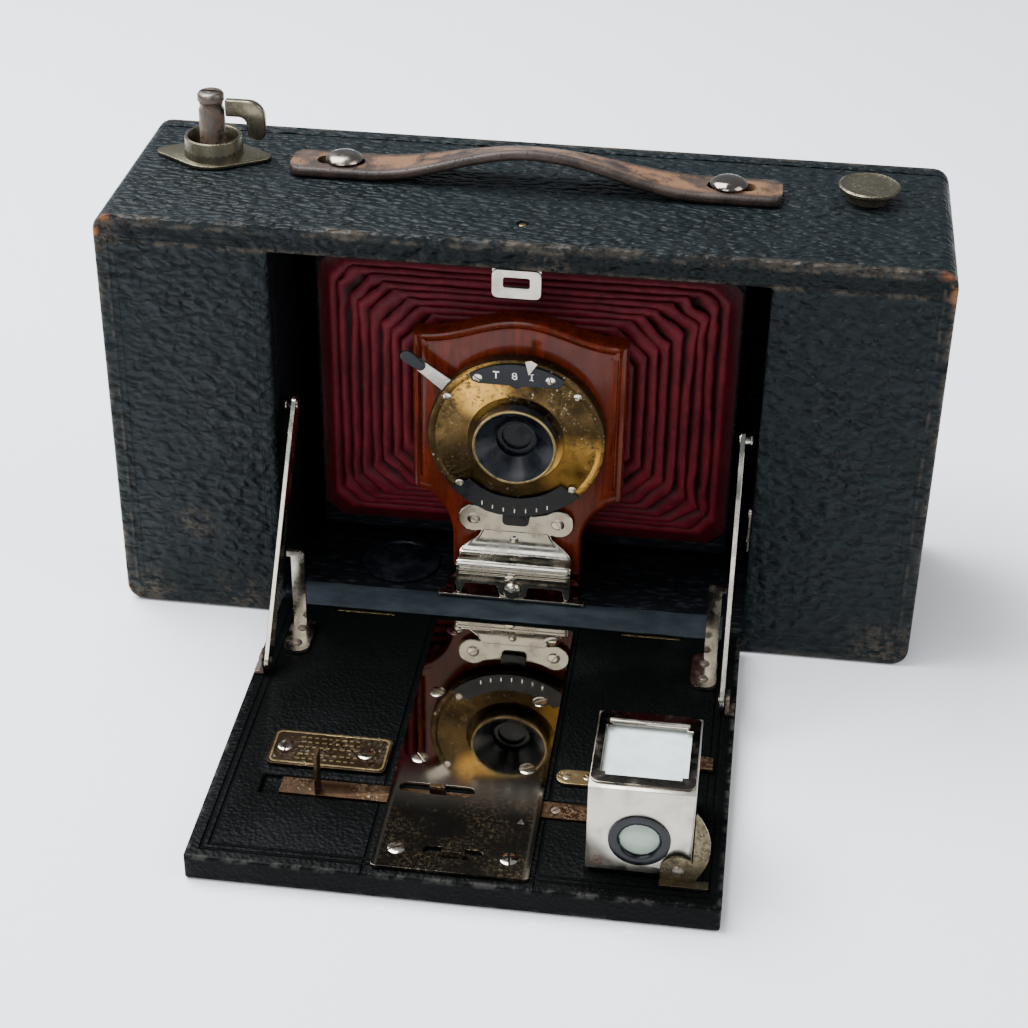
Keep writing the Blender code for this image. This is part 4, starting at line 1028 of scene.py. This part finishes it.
def mitred(half, bottom, top, cut, steps):
    """Points round a rectangle with its corners cut off, each with how close it is to a corner."""
    corners = [(half, top - cut), (half - cut, top), (cut - half, top), (-half, top - cut),
               (-half, bottom + cut),
               (cut - half, bottom), (half - cut, bottom), (half, bottom + cut)]
    points = []
    for k, (a, b) in enumerate(zip(corners, corners[1:] + corners[:1])):
        count = steps if k % 2 else 8
        for i in range(count):
            share = i / count
            near = 1.0 if k % 2 == 0 else max(0.0, abs(2 * share - 1) * 2.5 - 1.5)
            points.append((a[0] + (b[0] - a[0]) * share, a[1] + (b[1] - a[1]) * share, near))
    return points


def soft_rectangle(u, v, radius, steps):
    """A round-cornered rectangle with evenly divided sides, anticlockwise."""
    corners = [(u[1], v[1], 0), (u[0], v[1], 90), (u[0], v[0], 180), (u[1], v[0], 270)]
    arcs = []
    for cu, cv, start in corners:
        centre = (cu - math.copysign(radius, cu - sum(u) / 2), cv - math.copysign(radius, cv - sum(v) / 2))
        arcs.append(arc(centre, radius, start, start + 90, 3))
    points = []
    for here, after in zip(arcs, arcs[1:] + arcs[:1]):
        points += here
        a, b = Vector(here[-1]), Vector(after[0])
        points += [tuple(a.lerp(b, i / steps)) for i in range(1, steps)]
    return points


# ------------------------------------------------------------------ top fittings

def carrying_strap(settings):
    """The strap, arched between its studs and twisted at the middle."""
    low, high = (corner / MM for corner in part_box("carry_handle"))
    half_wide = (high.y - low.y) / 2
    middle_y = (high.y + low.y) / 2
    thick, arch = 2.6, 44.0
    rise = high.z - low.z - thick
    section = soft_rectangle((-half_wide, half_wide), (-thick / 2, thick / 2), 0.95, 5)
    bm = bmesh.new()
    edge_layer = bm.verts.layers.float.new("edge")
    rings = []
    steps = 96
    for i in range(steps + 1):
        x = low.x + (high.x - low.x) * i / steps
        share = 0.5 + 0.5 * math.cos(math.pi * min(abs(x), arch) / arch)
        lift = rise * share
        angle = settings.twist * share
        taper = min(1.0, 0.62 + 0.38 * math.sqrt(max(0.0, 1 - max(0.0, abs(x) - (high.x - 3.0)) ** 2 / 9)))
        sag = 0.25 * noise.noise(Vector((x * 0.06, 0, 1)))
        ring = []
        for y, z in section:
            wide = y * taper
            turned_y = wide * math.cos(angle) + z * math.sin(angle)
            turned_z = -wide * math.sin(angle) + z * math.cos(angle)
            drop = half_wide * math.sin(angle) * 0.9
            height = low.z + thick / 2 + lift - drop + turned_z + sag * share
            vert = bm.verts.new((x, middle_y + turned_y, height))
            vert[edge_layer] = abs(y) / half_wide
            ring.append(vert)
        rings.append(ring)
    for a, b in zip(rings, rings[1:]):
        for i in range(len(a)):
            j = (i + 1) % len(a)
            bm.faces.new((a[i], a[j], b[j], b[i]))
    bm.faces.new(rings[0])
    bm.faces.new(rings[-1])
    bmesh.ops.recalc_face_normals(bm, faces=bm.faces)
    strap = working("strap", bm)
    slots = []
    for side in (-1, 1):
        outline = rounded(sorted((side * 44.6, side * 57.3)), (middle_y - 2.6, middle_y + 2.6), 2.4, 5)
        slots.append(slab([outline], "Z", (low.z - 3, low.z + 8)))
    placed("carrying_strap", carve(strap, slots), "strap", "case", ("carry_handle",), 50)
    for side, word in ((-1, "left"), (1, "right")):
        base = low.z
        stud = turn_profile([(0, base + 5.0), (2.0, base + 4.9), (3.6, base + 4.5), (4.6, base + 3.8),
                             (4.85, base + 3.3), (4.6, base + 3.0), (2.2, base + 3.0), (2.2, base),
                             (0, base)],
                            "Z", (side * STUD_X, middle_y, 0), 48, closed=False)
        finished(f"strap_stud_{word}", stud, "bronze", "case", (f"handle_stud_{word}",))


def top_fittings():
    top = CASE_HIGH.z
    collar = rounded_edges(frame["nodes"]["key_collar"].data, 0.12, 2, 40)
    placed("key_escutcheon", collar, "grey_brass", "case", ("key_collar",), 42)
    cup = turn_profile([(4.0, 0.4), (4.0, 1.0), (6.2, 1.3), (6.5, 5.6), (6.9, 6.05), (7.3, 5.9), (7.6, 3.0),
                        (7.9, 0.9), (7.0, 0.4)], "Z", (-KEY_X, deep(SPOOL_DEPTH), top + 0.3), 72)
    finished("key_cup", cup, "grey_brass", "case")
    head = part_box("winding_key")[1].z / MM
    key = turn_profile([(0, head), (2.4, head), (3.1, head - 0.3), (3.5, head - 0.9), (3.5, head - 2.4),
                        (3.1, head - 2.9), (3.0, head - 4.2), (3.4, head - 5.0), (3.45, head - 12),
                        (3.5, 108.5), (1.9, 107.5), (1.9, 96), (0, 96)], "Z",
                        (-KEY_X, deep(SPOOL_DEPTH), 0), 48, closed=False)
    bmesh.ops.recalc_face_normals(key, faces=key.faces)
    slot = block((-KEY_X - 5, -KEY_X + 5), (deep(SPOOL_DEPTH) - 0.5, deep(SPOOL_DEPTH) + 0.5),
                 (head - 1.0, head + 2))
    mesh = carve(working("key", key), [slot])
    placed("key_shaft", mesh, "rusty", "winding_key", ("winding_key",), 35)
    soften("key_wing", "grey_brass", 0.5, 30, 3)
    knob = turn_profile([(0, 121.9), (4.0, 121.85), (6.6, 121.6), (7.4, 121.9), (7.9, 121.6), (7.9, 120.9),
                         (7.5, 120.5), (5.6, 120.2), (5.6, 117.9), (2.3, 117.9), (2.3, 108.5), (1.9, 107.5),
                         (1.9, 98), (0, 98)], "Z", (KEY_X, deep(SPOOL_DEPTH), 0), 72, closed=False)
    finished("rewind_knob", knob, "grey_brass", "spool_knob", ("spool_knob",), 30)


# ------------------------------------------------------------------ bed

def bed_pieces():
    board = soften("bed_board", "fine_leather", 1.3, 32, 3, 50)
    board.data.materials.append(FINISHES["leatherette"])
    for face in board.data.polygons:
        face.material_index = int(face.normal.z < -0.5)
    soften("track_plate", "track", 0.28)
    for side in ("left", "right"):
        soften(f"bed_hinge_{side}", "brass", 0.1)
        soften(f"strut_guide_{side}", "nickel", 0.25)
        soften(f"strut_lug_{side}", "rusty", 0.2)
        soften(f"strut_{side}", "nickel", 0.2)
    soften("focus_scale", "scale_enamel", 0.15)
    soften("focus_bar", "red_brass", 0.15)
    plate_z = TRACK_LOW.z
    frame_outer = rounded((-50.8, -22.0), (deep(-73.6), deep(-61.4)), 1.5, 4)
    frame_inner = rounded((-50.3, -22.5), (deep(-73.1), deep(-61.9)), 1.2, 4)
    smooth_slab("scale_border", [frame_outer, frame_inner], "Z", (plate_z + 0.6, plate_z + 0.85), "brass",
                "bed", (), 0.05)
    lines = bmesh.new()
    for row, y in enumerate((-63.6, -65.4, -67.3, -70.0, -71.8)):
        for k in range(9):
            x = -44.5 + k * 1.75 + 0.4 * (row % 2)
            long = 0.9 if k % 3 else 1.2
            tick = block((x, x + long), (deep(y), deep(y) + 0.5), (plate_z + 0.6, plate_z + 0.78))
            tick_mesh = bpy.data.meshes.new("tick")
            tick.to_mesh(tick_mesh)
            tick.free()
            lines.from_mesh(tick_mesh)
            bpy.data.meshes.remove(tick_mesh)
    finished("scale_ticks", lines, "brass", "bed", weld=0)
    rest = rounded((20.4, 30.4), (deep(-71.6), deep(-66.2)), 2.6, 6)
    smooth_slab("finder_rest", [rest], "Z", (plate_z, plate_z + 0.8), "brass", "bed", (), 0.15)
    smooth_slab("finder_stop", [rounded((54.6, 58.4), (deep(-61.6), deep(-56.8)), 0.4, 3)], "Z",
                (plate_z, plate_z + 1.2), "red_brass", "bed", (), 0.15)
    triangle = [(13.1, deep(-88.2)), (14.9, deep(-88.2)), (14.0, deep(-86.2))]
    smooth_slab("index_mark", [triangle], "Z", (TRACK_HIGH.z - 1.72, TRACK_HIGH.z - 1.64),
                "engraving", "bed",
                (), 0.0)
    top = plate_z + 0.8
    head, rivet = FINISHES["screw_head"], FINISHES["rivet_head"]
    rows = [(-13.5, -12.8), (13.0, -13.6), (-13.8, -40.0), (13.1, -40.3), (-13.8, -67.0), (13.1, -67.5),
            (-13.8, -100.6), (12.9, -100.8)]
    fastenings("track_screws", [(x, deep(d), top - 0.06, 1.0) for x, d in rows], head, "up", "screw", "bed",
               4)
    small = [(-47.7, deep(-67.1), plate_z + 0.72, 0.95), (-27.3, deep(-67.7), plate_z + 0.72, 0.95),
             (23.1, deep(-69.1), top, 0.5), (28.0, deep(-68.6), top, 0.5)]
    fastenings("plate_screws", small, head, "up", "screw", "bed", 9)
    feet = [(side * 54.0, deep(d), plate_z + 1.0, 0.62) for side in (-1, 1) for d in (-18.0, -24.6)]
    fastenings("guide_rivets", feet, rivet, "up", "rusty", "bed", 3)
    fastenings("bar_screws", [(21.6, deep(-80.5), 6.8, 0.55)], head, "up", "rusty", "focus_bar", 2)
    for side, word, facing in ((-1, "left", "left"), (1, "right", "right")):
        outer = side * 61.65
        fastenings(f"strut_rivet_{word}", [(outer, deep(7), 63.0, 0.85)], rivet, facing, "nickel",
                   f"strut_{word}", 5)


# ------------------------------------------------------------------ finder

def finder_pieces():
    soften("finder_body", "finder_nickel", 0.7, 35, 3, 50)
    x0, x1 = FINDER_LOW.x, FINDER_HIGH.x
    y0, y1, top = FINDER_LOW.y, FINDER_HIGH.y, FINDER_HIGH.z
    outer = rounded((x0 + 0.2, x1 - 0.2), (y0 + 1.4, y1 - 0.2), 2.0, 5)
    wx0, wx1, wy0, wy1, notch = x0 + 2.2, x1 - 2.2, y0 + 4.4, y1 - 4.8, 1.3
    window = [(wx0 + notch, wy0), (wx1 - notch, wy0), (wx1 - notch, wy0 + notch * 0.8),
              (wx1, wy0 + notch * 0.8),
              (wx1, wy1 - notch * 0.8), (wx1 - notch, wy1 - notch * 0.8), (wx1 - notch, wy1),
              (wx0 + notch, wy1), (wx0 + notch, wy1 - notch * 0.8), (wx0, wy1 - notch * 0.8),
              (wx0, wy0 + notch * 0.8), (wx0 + notch, wy0 + notch * 0.8)]
    smooth_slab("finder_top_frame", [outer, window], "Z", (top - 0.1, top + 0.55), "bronze",
                "finder",
                (), 0.18)
    smooth_slab("finder_ledge", [rounded((wx0 + 0.6, wx1 - 0.6), (wy1 + 0.3, wy1 + 1.3), 0.3, 2)], "Z",
                (top + 0.4, top + 0.95), "finder_nickel", "finder", (), 0.15)
    soften("finder_glass", "ground", 0.1)
    soften("finder_mirror", "mirror", 0.05)
    lens_low, lens_high = (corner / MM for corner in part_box("finder_lens"))
    centre = (lens_low + lens_high) / 2
    face = FINDER_LOW.y
    ring = turn_profile([(4.9, -0.30), (5.3, -0.55), (6.7, -0.58), (7.2, -0.42), (7.2, -0.2), (6.5, -0.2),
                         (6.5, 1.3), (4.9, 1.3), (4.7, 0.2)], "Y", (centre.x, face, centre.z), 80)
    finished("finder_lens_ring", ring, "hood_enamel", "finder", ("finder_lens",))
    glass = turn_profile([(0, -0.45), (1.6, -0.35), (3.2, -0.05), (4.6, 0.45), (4.6, 1.0), (0, 1.0)], "Y",
                         (centre.x, face, centre.z), 64, closed=False)
    finished("finder_front_glass", glass, "finder_lens", "finder")
    cell = turn_profile([(0, 1.2), (4.8, 1.2), (4.8, 1.5), (0, 1.5)], "Y", (centre.x, face, centre.z), 48,
                        closed=False)
    finished("finder_cell", cell, "ground", "finder")
    fastenings("finder_screw", [(33.3, face, 11.0, 0.72)], FINISHES["screw_head"], "front", "rusty",
               "finder",
               8)
    soften("finder_bracket", "dark_brass", 0.18)
    fastenings("pivot_rivet", [(FINDER_PIVOT[0], deep(-102.5), FINDER_PIVOT[1], 0.75)],
               FINISHES["rivet_head"], "front", "rusty",
               "bed", 6)


# ------------------------------------------------------------------ lens standard

def board_half_outline():
    points = [(17.5, 9.5), (17.5, 12.0), (17.5, 15.0), (17.5, 18.0), (17.5, 21.0), (17.5, 24.0)]
    steps = 16
    for i in range(1, steps + 1):
        angle = math.radians(80 * i / steps)
        points.append((29.5 - 12.0 * math.cos(angle) + 0.6 * i / steps, 24.0 + 14.6 * math.sin(angle)))
    points.append((28.2, 38.6))
    points += [(28.2, 38.6 + (85.4 - 38.6) * i / 14) for i in range(1, 15)]
    for i in range(41):
        x = 26.0 * (1 - i / 40)
        points.append((x, 85.4 + 2.8 * (1 + math.cos(math.pi * x / 26.0))))
    return points


def lens_board(settings):
    """Shield-shaped board with a bead and cove worked round its upper part."""
    right = board_half_outline()
    outline = [Vector(p) for p in right + [(-x, z) for x, z in reversed(right[:-1])]]
    outline = [p for i, p in enumerate(outline) if (p - outline[i - 1]).length > 0.02]
    count = len(outline)
    normals = []
    for i in range(count):
        along = (outline[(i + 1) % count] - outline[i - 1]).normalized()
        normals.append(Vector((-along.y, along.x)))
    width = settings.moulding_width / MM
    back, face = deep(15.5), deep(10.0)
    rows = [(0.0, back, back), (0.0, face + 1.7, face + 0.9), (0.04, face + 1.0, face + 0.6),
            (0.12, face + 0.35, face + 0.45), (0.24, face + 0.02, face + 0.45),
            (0.36, face + 0.12, face + 0.45),
            (0.47, face + 0.55, face + 0.45), (0.53, face + 1.05, face + 0.45),
            (0.60, face + 1.1, face + 0.45),
            (0.66, face + 0.62, face + 0.45), (0.80, face + 0.5, face + 0.45),
            (1.0, face + 0.45, face + 0.45)]
    bm = bmesh.new()
    rings = []
    for inset, moulded, plain in rows:
        ring = []
        for point, normal in zip(outline, normals):
            worked = min(1.0, max(0.0, (point.y - 37.0) / 2.5))
            place = point + normal * inset * width
            ring.append(bm.verts.new((place.x, plain + (moulded - plain) * worked, place.y)))
        rings.append(ring)
    for a, b in zip(rings, rings[1:]):
        for i in range(count):
            j = (i + 1) % count
            bm.faces.new((a[i], a[j], b[j], b[i]))
    hole_r, steps = 10.0, 64
    ends = []
    for ring, y in ((rings[-1], face + 0.45), (rings[0], back)):
        rim = arc((0, AXIS.z), hole_r, 0, 360 * (steps - 1) / steps, steps - 1)
        hole = [bm.verts.new((x, y, z)) for x, z in rim]
        edges = [bm.edges.new((a, b)) for a, b in zip(hole, hole[1:] + hole[:1])]
        border = [bm.edges.get((a, b)) for a, b in zip(ring, ring[1:] + ring[:1])]
        bmesh.ops.triangle_fill(bm, use_beauty=True, use_dissolve=False, edges=edges + border)
        ends.append(hole)
    for i in range(steps):
        j = (i + 1) % steps
        bm.faces.new((ends[0][i], ends[0][j], ends[1][j], ends[1][i]))
    finished("mahogany_board", bm, "mahogany", "standard", ("lens_board",), 28)


def shutter_pieces():
    axis = (0, deep(5.7), AXIS.z)
    profile = [(22.9, 0.0), (23.35, 0.12), (23.6, 0.5), (23.6, 4.0), (22.6, 4.0), (22.6, 0.8), (10.6, 0.8),
               (10.6, 0.0), (12.6, 0.0), (12.9, -0.12), (13.2, 0.0), (21.2, 0.0), (21.5, 0.14), (21.9, 0.0)]
    bm = turn_profile(profile, "Y", axis, 128)
    bmesh.ops.recalc_face_normals(bm, faces=bm.faces)
    lever_slot = block((-26, -12), (deep(6.6), deep(7.6)), (68, 84))
    stop_slot = block((-8.5, 8.5), (deep(7.3), deep(9.9)), (30, 37.5))
    slots = [lever_slot, stop_slot]
    placed("shutter_cover", carve(working("shutter", bm), slots), "shutter_brass", "standard",
           ("shutter_case",), 30)
    back = turn_profile([(5.6, 3.4), (22.3, 3.4), (22.3, 3.7), (5.6, 3.7)], "Y", axis, 64)
    finished("shutter_back_plate", back, "enamel", "standard")

    hood = turn_profile([(10.45, 0.12), (10.9, 0.0), (11.1, 0.3), (11.1, 3.5), (10.9, 3.7), (10.2, 3.9),
                         (10.2, 5.3), (5.4, 5.3), (5.4, 4.6), (7.6, 2.6), (9.2, 1.2), (10.0, 0.6)],
                        "Y", (0, deep(1.6), AXIS.z), 112)
    finished("hood", hood, "hood_enamel", "standard", ("lens_hood",), 30)
    rim = turn_profile([(10.35, 0.02), (10.75, -0.10), (11.05, 0.02), (11.15, 0.30), (11.0, 0.34),
                        (10.6, 0.16)],
                       "Y", (0, deep(1.6), AXIS.z), 112)
    finished("hood_rim", rim, "brass", "standard")
    glass = turn_profile([(0, 1.3), (3.0, 1.0), (6.0, 0.4), (9.4, -0.5), (9.6, 0.4), (9.6, 1.8), (5.0, 2.5),
                          (0, 2.8)], "Y", (0, deep(11.0), AXIS.z), 72, closed=False)
    finished("lens_element", glass, "lens", "standard", ("lens_glass",))

    for node in ("dial_plate_top", "dial_plate_bottom"):
        soften(node, "enamel", 0.12)
    soften("aperture_wheel", "enamel", 0.12)
    soften("shutter_blade", "enamel", 0.0)
    soften("mode_pointer", "nickel", 0.12)
    soften("release_lever", "nickel", 0.12)
    head = FINISHES["screw_head"]
    face = deep(5.7)
    dial = deep(4.9)
    points = [(-18.3, face, 69.6, 0.5), (15.9, face, 72.2, 0.5), (-10.2, dial, 76.3, 0.58),
              (8.8, dial, 76.9, 0.58),
              (-14.9, dial, 44.0, 0.5), (15.3, dial, 44.4, 0.5)]
    fastenings("shutter_screws", points, head, "front", "screw", "standard", 12)
    shutter_marks(dial)
    lever_tip(dial)


def shutter_marks(y):
    """Plain shutter marks on the upper dial: T, B and I, and stop marks on the lower one."""
    strokes = {
        "T": [((-0.8, 0.8), (0.8, 1.1)), ((-0.15, 0.15), (-1.0, 1.0))],
        "B": [((-0.6, -0.3), (-1.0, 1.0)), ((-0.6, 0.45), (0.75, 1.0)), ((-0.6, 0.45), (-0.12, 0.13)),
              ((-0.6, 0.55), (-1.0, -0.75)), ((0.35, 0.62), (0.1, 0.85)), ((0.42, 0.72), (-0.85, 0.0))],
        "I": [((-0.15, 0.15), (-1.0, 1.0)), ((-0.5, 0.5), (0.8, 1.0)), ((-0.5, 0.5), (-1.0, -0.8))],
    }
    marks = bmesh.new()

    def stroke(u, v):
        bit = block(u, (y - 0.07, y + 0.1), v)
        mesh = bpy.data.meshes.new("stroke")
        bit.to_mesh(mesh)
        bit.free()
        marks.from_mesh(mesh)
        bpy.data.meshes.remove(mesh)

    for letter, x in (("T", -5.4), ("B", -0.6), ("I", 3.9)):
        for u, v in strokes[letter]:
            stroke((x + u[0], x + u[1]), (77.6 + v[0], 77.6 + v[1]))
    for k in range(-3, 4):
        angle = math.radians(-90 + 8 * k)
        x, z = 21.6 * math.cos(angle), AXIS.z + 21.6 * math.sin(angle)
        stroke((x - 0.14, x + 0.14), (z - 0.6, z + 0.6))
    finished("dial_marks", marks, "engraving", "standard", weld=0)


def lever_tip(y):
    """The black finger piece on the end of the release lever."""
    start, end = Vector((-25.6, 77.7)), Vector((-29.0, 80.2))
    along = (end - start).normalized()
    outline = []
    turn = math.degrees(math.atan2(along.y, along.x))
    outline += arc(start, 1.5, turn + 90, turn + 270, 6)
    outline += arc(end, 1.75, turn - 90, turn + 90, 8)
    smooth_slab("lever_tip", [outline], "Y", (deep(6.3), deep(6.85)), "hood_enamel", "release_lever",
                (), 0.22)


def standard_foot():
    """The pressed nickel foot: eared plate, curved shelf, ribbed apron and hooks on the rails."""
    path = [(9.1, 27.8, 9.3), (9.1, 26.2, 9.6), (9.0, 24.6, 10.8), (8.8, 23.0, 12.9), (8.2, 21.4, 15.0),
            (7.2, 20.3, 15.8), (5.8, 19.9, 15.8), (4.6, 19.7, 15.8), (3.8, 19.2, 15.8), (3.45, 18.3, 15.8),
            (3.55, 17.7, 15.8), (3.3, 17.2, 15.8), (3.5, 16.6, 15.8), (3.3, 16.1, 15.8), (3.45, 15.4, 15.8),
            (3.4, 14.0, 15.8), (3.4, 12.9, 15.8)]
    bm = bmesh.new()
    across = 16
    rows = []
    for d, z, half in path:
        rows.append([bm.verts.new((half * (2 * i / across - 1), deep(d), z)) for i in range(across + 1)])
    for a, b in zip(rows, rows[1:]):
        for i in range(across):
            bm.faces.new((a[i], a[i + 1], b[i + 1], b[i]))
    last = rows[-1]
    tab_low = [bm.verts.new((v.co.x, deep(3.4), 9.0)) for v in last[6:11]]
    for i in range(4):
        bm.faces.new((last[6 + i], last[7 + i], tab_low[i + 1], tab_low[i]))
    for columns in (last[:2], last[-2:]):
        low = [bm.verts.new((v.co.x, deep(3.4), 9.0)) for v in columns]
        bm.faces.new((columns[0], columns[1], low[1], low[0]))
    obj = working("foot", bm)
    thick = obj.modifiers.new("sheet", "SOLIDIFY")
    thick.thickness = 0.7 * MM
    thick.offset = 0
    bend = obj.modifiers.new("bend", "SUBSURF")
    bend.levels = bend.render_levels = 2
    placed("foot_apron", evaluated(obj), "nickel", "standard", ("standard_foot",), 60)

    ear = (11.6, 30.6)
    half = [(8.6, 25.6)] + arc(ear, 4.2, -115, 110, 12) + [(8.2, 33.4), (5.0, 32.6), (0.0, 32.3)]
    outline = half + [(-x, z) for x, z in reversed(half[:-1])]
    smooth_slab("foot_ears", [outline], "Y", (deep(8.8), deep(9.5)), "nickel", "standard",
                (), 0.25)
    centre = (TRACK_LOW.x + TRACK_HIGH.x) / 2
    base = rounded((centre - 16.5, centre + 16.5), (deep(2.9), deep(24.0)), 0.5, 3)
    smooth_slab("foot_base", [base], "Z", (8.4, 9.2), "nickel", "standard", (), 0.2)
    for side, word in ((-1, "left"), (1, "right")):
        x = centre + side * 20.2
        bar = rounded(sorted((x, centre + side * 15.5)), (deep(2.9), deep(5.2)), 0.9, 4)
        smooth_slab(f"rail_hook_{word}", [bar], "Z", (8.45, 9.15), "nickel", "standard", (), 0.22)
        lip = rounded(sorted((x, x - side * 1.0)), (deep(2.9), deep(5.2)), 0.3, 2)
        smooth_slab(f"hook_lip_{word}", [lip], "Z", (7.9, 8.9), "nickel", "standard", (), 0.2)
    head = FINISHES["screw_head"]
    fastenings("foot_screws", [(-11.6, deep(8.8), 30.5, 0.85), (11.4, deep(8.8), 30.5, 0.85),
                               (-0.5, deep(3.0), 15.6, 0.85)], head, "front", "screw", "standard",
                               21)
    fastenings("foot_pin", [(-0.4, deep(8.75), 24.6, 0.6)], FINISHES["rivet_head"], "front", "screw",
               "standard",
               2)
    knob = turn_profile([(0, -0.1), (0.8, -0.05), (1.6, 0.15), (2.2, 0.6), (2.5, 1.3), (2.2, 1.6),
                         (0, 1.6)], "Y",
                        (0, deep(1.2), 12.0), 40, closed=False)
    finished("clamp_knob", knob, "nickel", "foot_knob", ("foot_knob",))


# ------------------------------------------------------------------ stage

def stage(settings):
    floor = bmesh.new()
    bmesh.ops.create_grid(floor, x_segments=2, y_segments=2, size=4.0)
    mesh = bpy.data.meshes.new("floor")
    floor.to_mesh(mesh)
    floor.free()
    obj = bpy.data.objects.new("floor", mesh)
    obj.location.z = -0.0002
    bpy.context.scene.collection.objects.link(obj)
    mesh.materials.append(floor_paper(tuple(settings.floor_color)))

    world = bpy.data.worlds.new("studio")
    world.use_nodes = True
    world.node_tree.nodes["Background"].inputs["Color"].default_value = (0.80, 0.86, 0.95, 1.0)
    world.node_tree.nodes["Background"].inputs["Strength"].default_value = 0.42
    bpy.context.scene.world = world

    lamps = (("window", (-0.55, 0.10, 1.05), 1.0, 50.0, (0.95, 0.97, 1.0)),
             ("front_fill", (-0.35, -1.2, 0.9), 0.8, 9.0, (0.95, 0.97, 1.0)),
             ("side_fill", (0.95, -0.25, 0.8), 0.7, 7.0, (1.0, 0.98, 0.95)))
    for name, place, size, power, color in lamps:
        lamp = bpy.data.lights.new(name, "AREA")
        lamp.size = size
        lamp.energy = power
        lamp.color = color
        lamp_obj = bpy.data.objects.new(name, lamp)
        lamp_obj.location = place
        aim = Vector((0, 0, 0.04)) - Vector(place)
        lamp_obj.rotation_euler = aim.to_track_quat("-Z", "Y").to_euler()
        bpy.context.scene.collection.objects.link(lamp_obj)

    lens = bpy.data.cameras.new("view")
    lens.lens = settings.camera_lens
    lens.sensor_width = 36.0
    lens.clip_start = 0.01
    camera = bpy.data.objects.new("view", lens)
    camera.location = settings.camera_place
    camera.rotation_euler = Euler(settings.camera_turn)
    bpy.context.scene.collection.objects.link(camera)
    bpy.context.scene.camera = camera


# ------------------------------------------------------------------ operators and panel

def build_heads():
    """Makes the two master heads that the fastenings are copied from."""
    FINISHES["screw_head"] = screw_head("screw_head", bpy.context.scene.camera_metal.screw_radius / MM, 0.26)
    FINISHES["rivet_head"] = screw_head("rivet_head", 2.1, 0.9, slotted=False)


def drop_heads():
    for name in ("screw_head", "rivet_head"):
        bpy.data.objects.remove(FINISHES.pop(name), do_unlink=True)


class FinishesOperator(bpy.types.Operator):
    """Make every material and the master screw heads"""
    bl_idname = "folding_camera.finishes"
    bl_label = "Finishes"

    def execute(self, context):
        build_finishes()
        build_heads()
        return {"FINISHED"}


class CaseOperator(bpy.types.Operator):
    """Make the leather-covered case, its lining, its back and the hinge cloth"""
    bl_idname = "folding_camera.case"
    bl_label = "Case"

    def execute(self, context):
        case_skin(context.scene.camera_case)
        border_lines()
        back_pieces()
        interior()
        hinge_strip()
        return {"FINISHED"}


class BellowsOperator(bpy.types.Operator):
    """Make the folded bellows"""
    bl_idname = "folding_camera.bellows"
    bl_label = "Bellows"

    def execute(self, context):
        bellows(context.scene.camera_bellows)
        return {"FINISHED"}


class TopOperator(bpy.types.Operator):
    """Make the carrying strap, winding key and spool knob"""
    bl_idname = "folding_camera.top"
    bl_label = "Top fittings"

    def execute(self, context):
        carrying_strap(context.scene.camera_handle)
        top_fittings()
        return {"FINISHED"}


class BedOperator(bpy.types.Operator):
    """Make the drop bed with its track plate, struts, scale and screws"""
    bl_idname = "folding_camera.bed"
    bl_label = "Bed"

    def execute(self, context):
        bed_pieces()
        return {"FINISHED"}


class FinderOperator(bpy.types.Operator):
    """Make the reflecting finder and its bracket"""
    bl_idname = "folding_camera.finder"
    bl_label = "Finder"

    def execute(self, context):
        finder_pieces()
        return {"FINISHED"}


class StandardOperator(bpy.types.Operator):
    """Make the lens board, shutter, hood and foot"""
    bl_idname = "folding_camera.standard"
    bl_label = "Lens standard"

    def execute(self, context):
        lens_board(context.scene.camera_standard)
        shutter_pieces()
        standard_foot()
        drop_heads()
        return {"FINISHED"}


class StageOperator(bpy.types.Operator):
    """Make the floor, the lights and the camera"""
    bl_idname = "folding_camera.stage"
    bl_label = "Stage"

    def execute(self, context):
        stage(context.scene.camera_stage)
        return {"FINISHED"}


class CameraPanel(bpy.types.Panel):
    """Lists the steps and the settings they read"""
    bl_idname = "VIEW3D_PT_folding_camera"
    bl_label = "Folding camera"
    bl_space_type = "VIEW_3D"
    bl_region_type = "UI"
    bl_category = "Folding camera"

    def draw(self, context):
        layout = self.layout
        for operator in OPERATORS:
            layout.operator(operator.bl_idname)
        for group in SETTINGS:
            settings = getattr(context.scene, group)
            box = layout.box()
            for name in settings.bl_rna.properties.keys():
                if name not in ("name", "rna_type"):
                    box.prop(settings, name)


OPERATORS = (FinishesOperator, CaseOperator, BellowsOperator, TopOperator, BedOperator, FinderOperator,
             StandardOperator, StageOperator)
SETTINGS = {
    "camera_case": CaseSettings,
    "camera_bellows": BellowsSettings,
    "camera_standard": StandardSettings,
    "camera_handle": HandleSettings,
    "camera_metal": MetalSettings,
    "camera_stage": StageSettings,
}


def register():
    for name, group in SETTINGS.items():
        bpy.utils.register_class(group)
        setattr(bpy.types.Scene, name, PointerProperty(type=group))
    for operator in OPERATORS:
        bpy.utils.register_class(operator)
    bpy.utils.register_class(CameraPanel)


def unregister():
    bpy.utils.unregister_class(CameraPanel)
    for operator in reversed(OPERATORS):
        bpy.utils.unregister_class(operator)
    for name, group in reversed(list(SETTINGS.items())):
        delattr(bpy.types.Scene, name)
        bpy.utils.unregister_class(group)


def main():
    register()
    bpy.ops.folding_camera.finishes()
    bpy.ops.folding_camera.case()
    bpy.ops.folding_camera.bellows()
    bpy.ops.folding_camera.top()
    bpy.ops.folding_camera.bed()
    bpy.ops.folding_camera.finder()
    bpy.ops.folding_camera.standard()
    bpy.ops.folding_camera.stage()


if __name__ == "__main__":
    main()
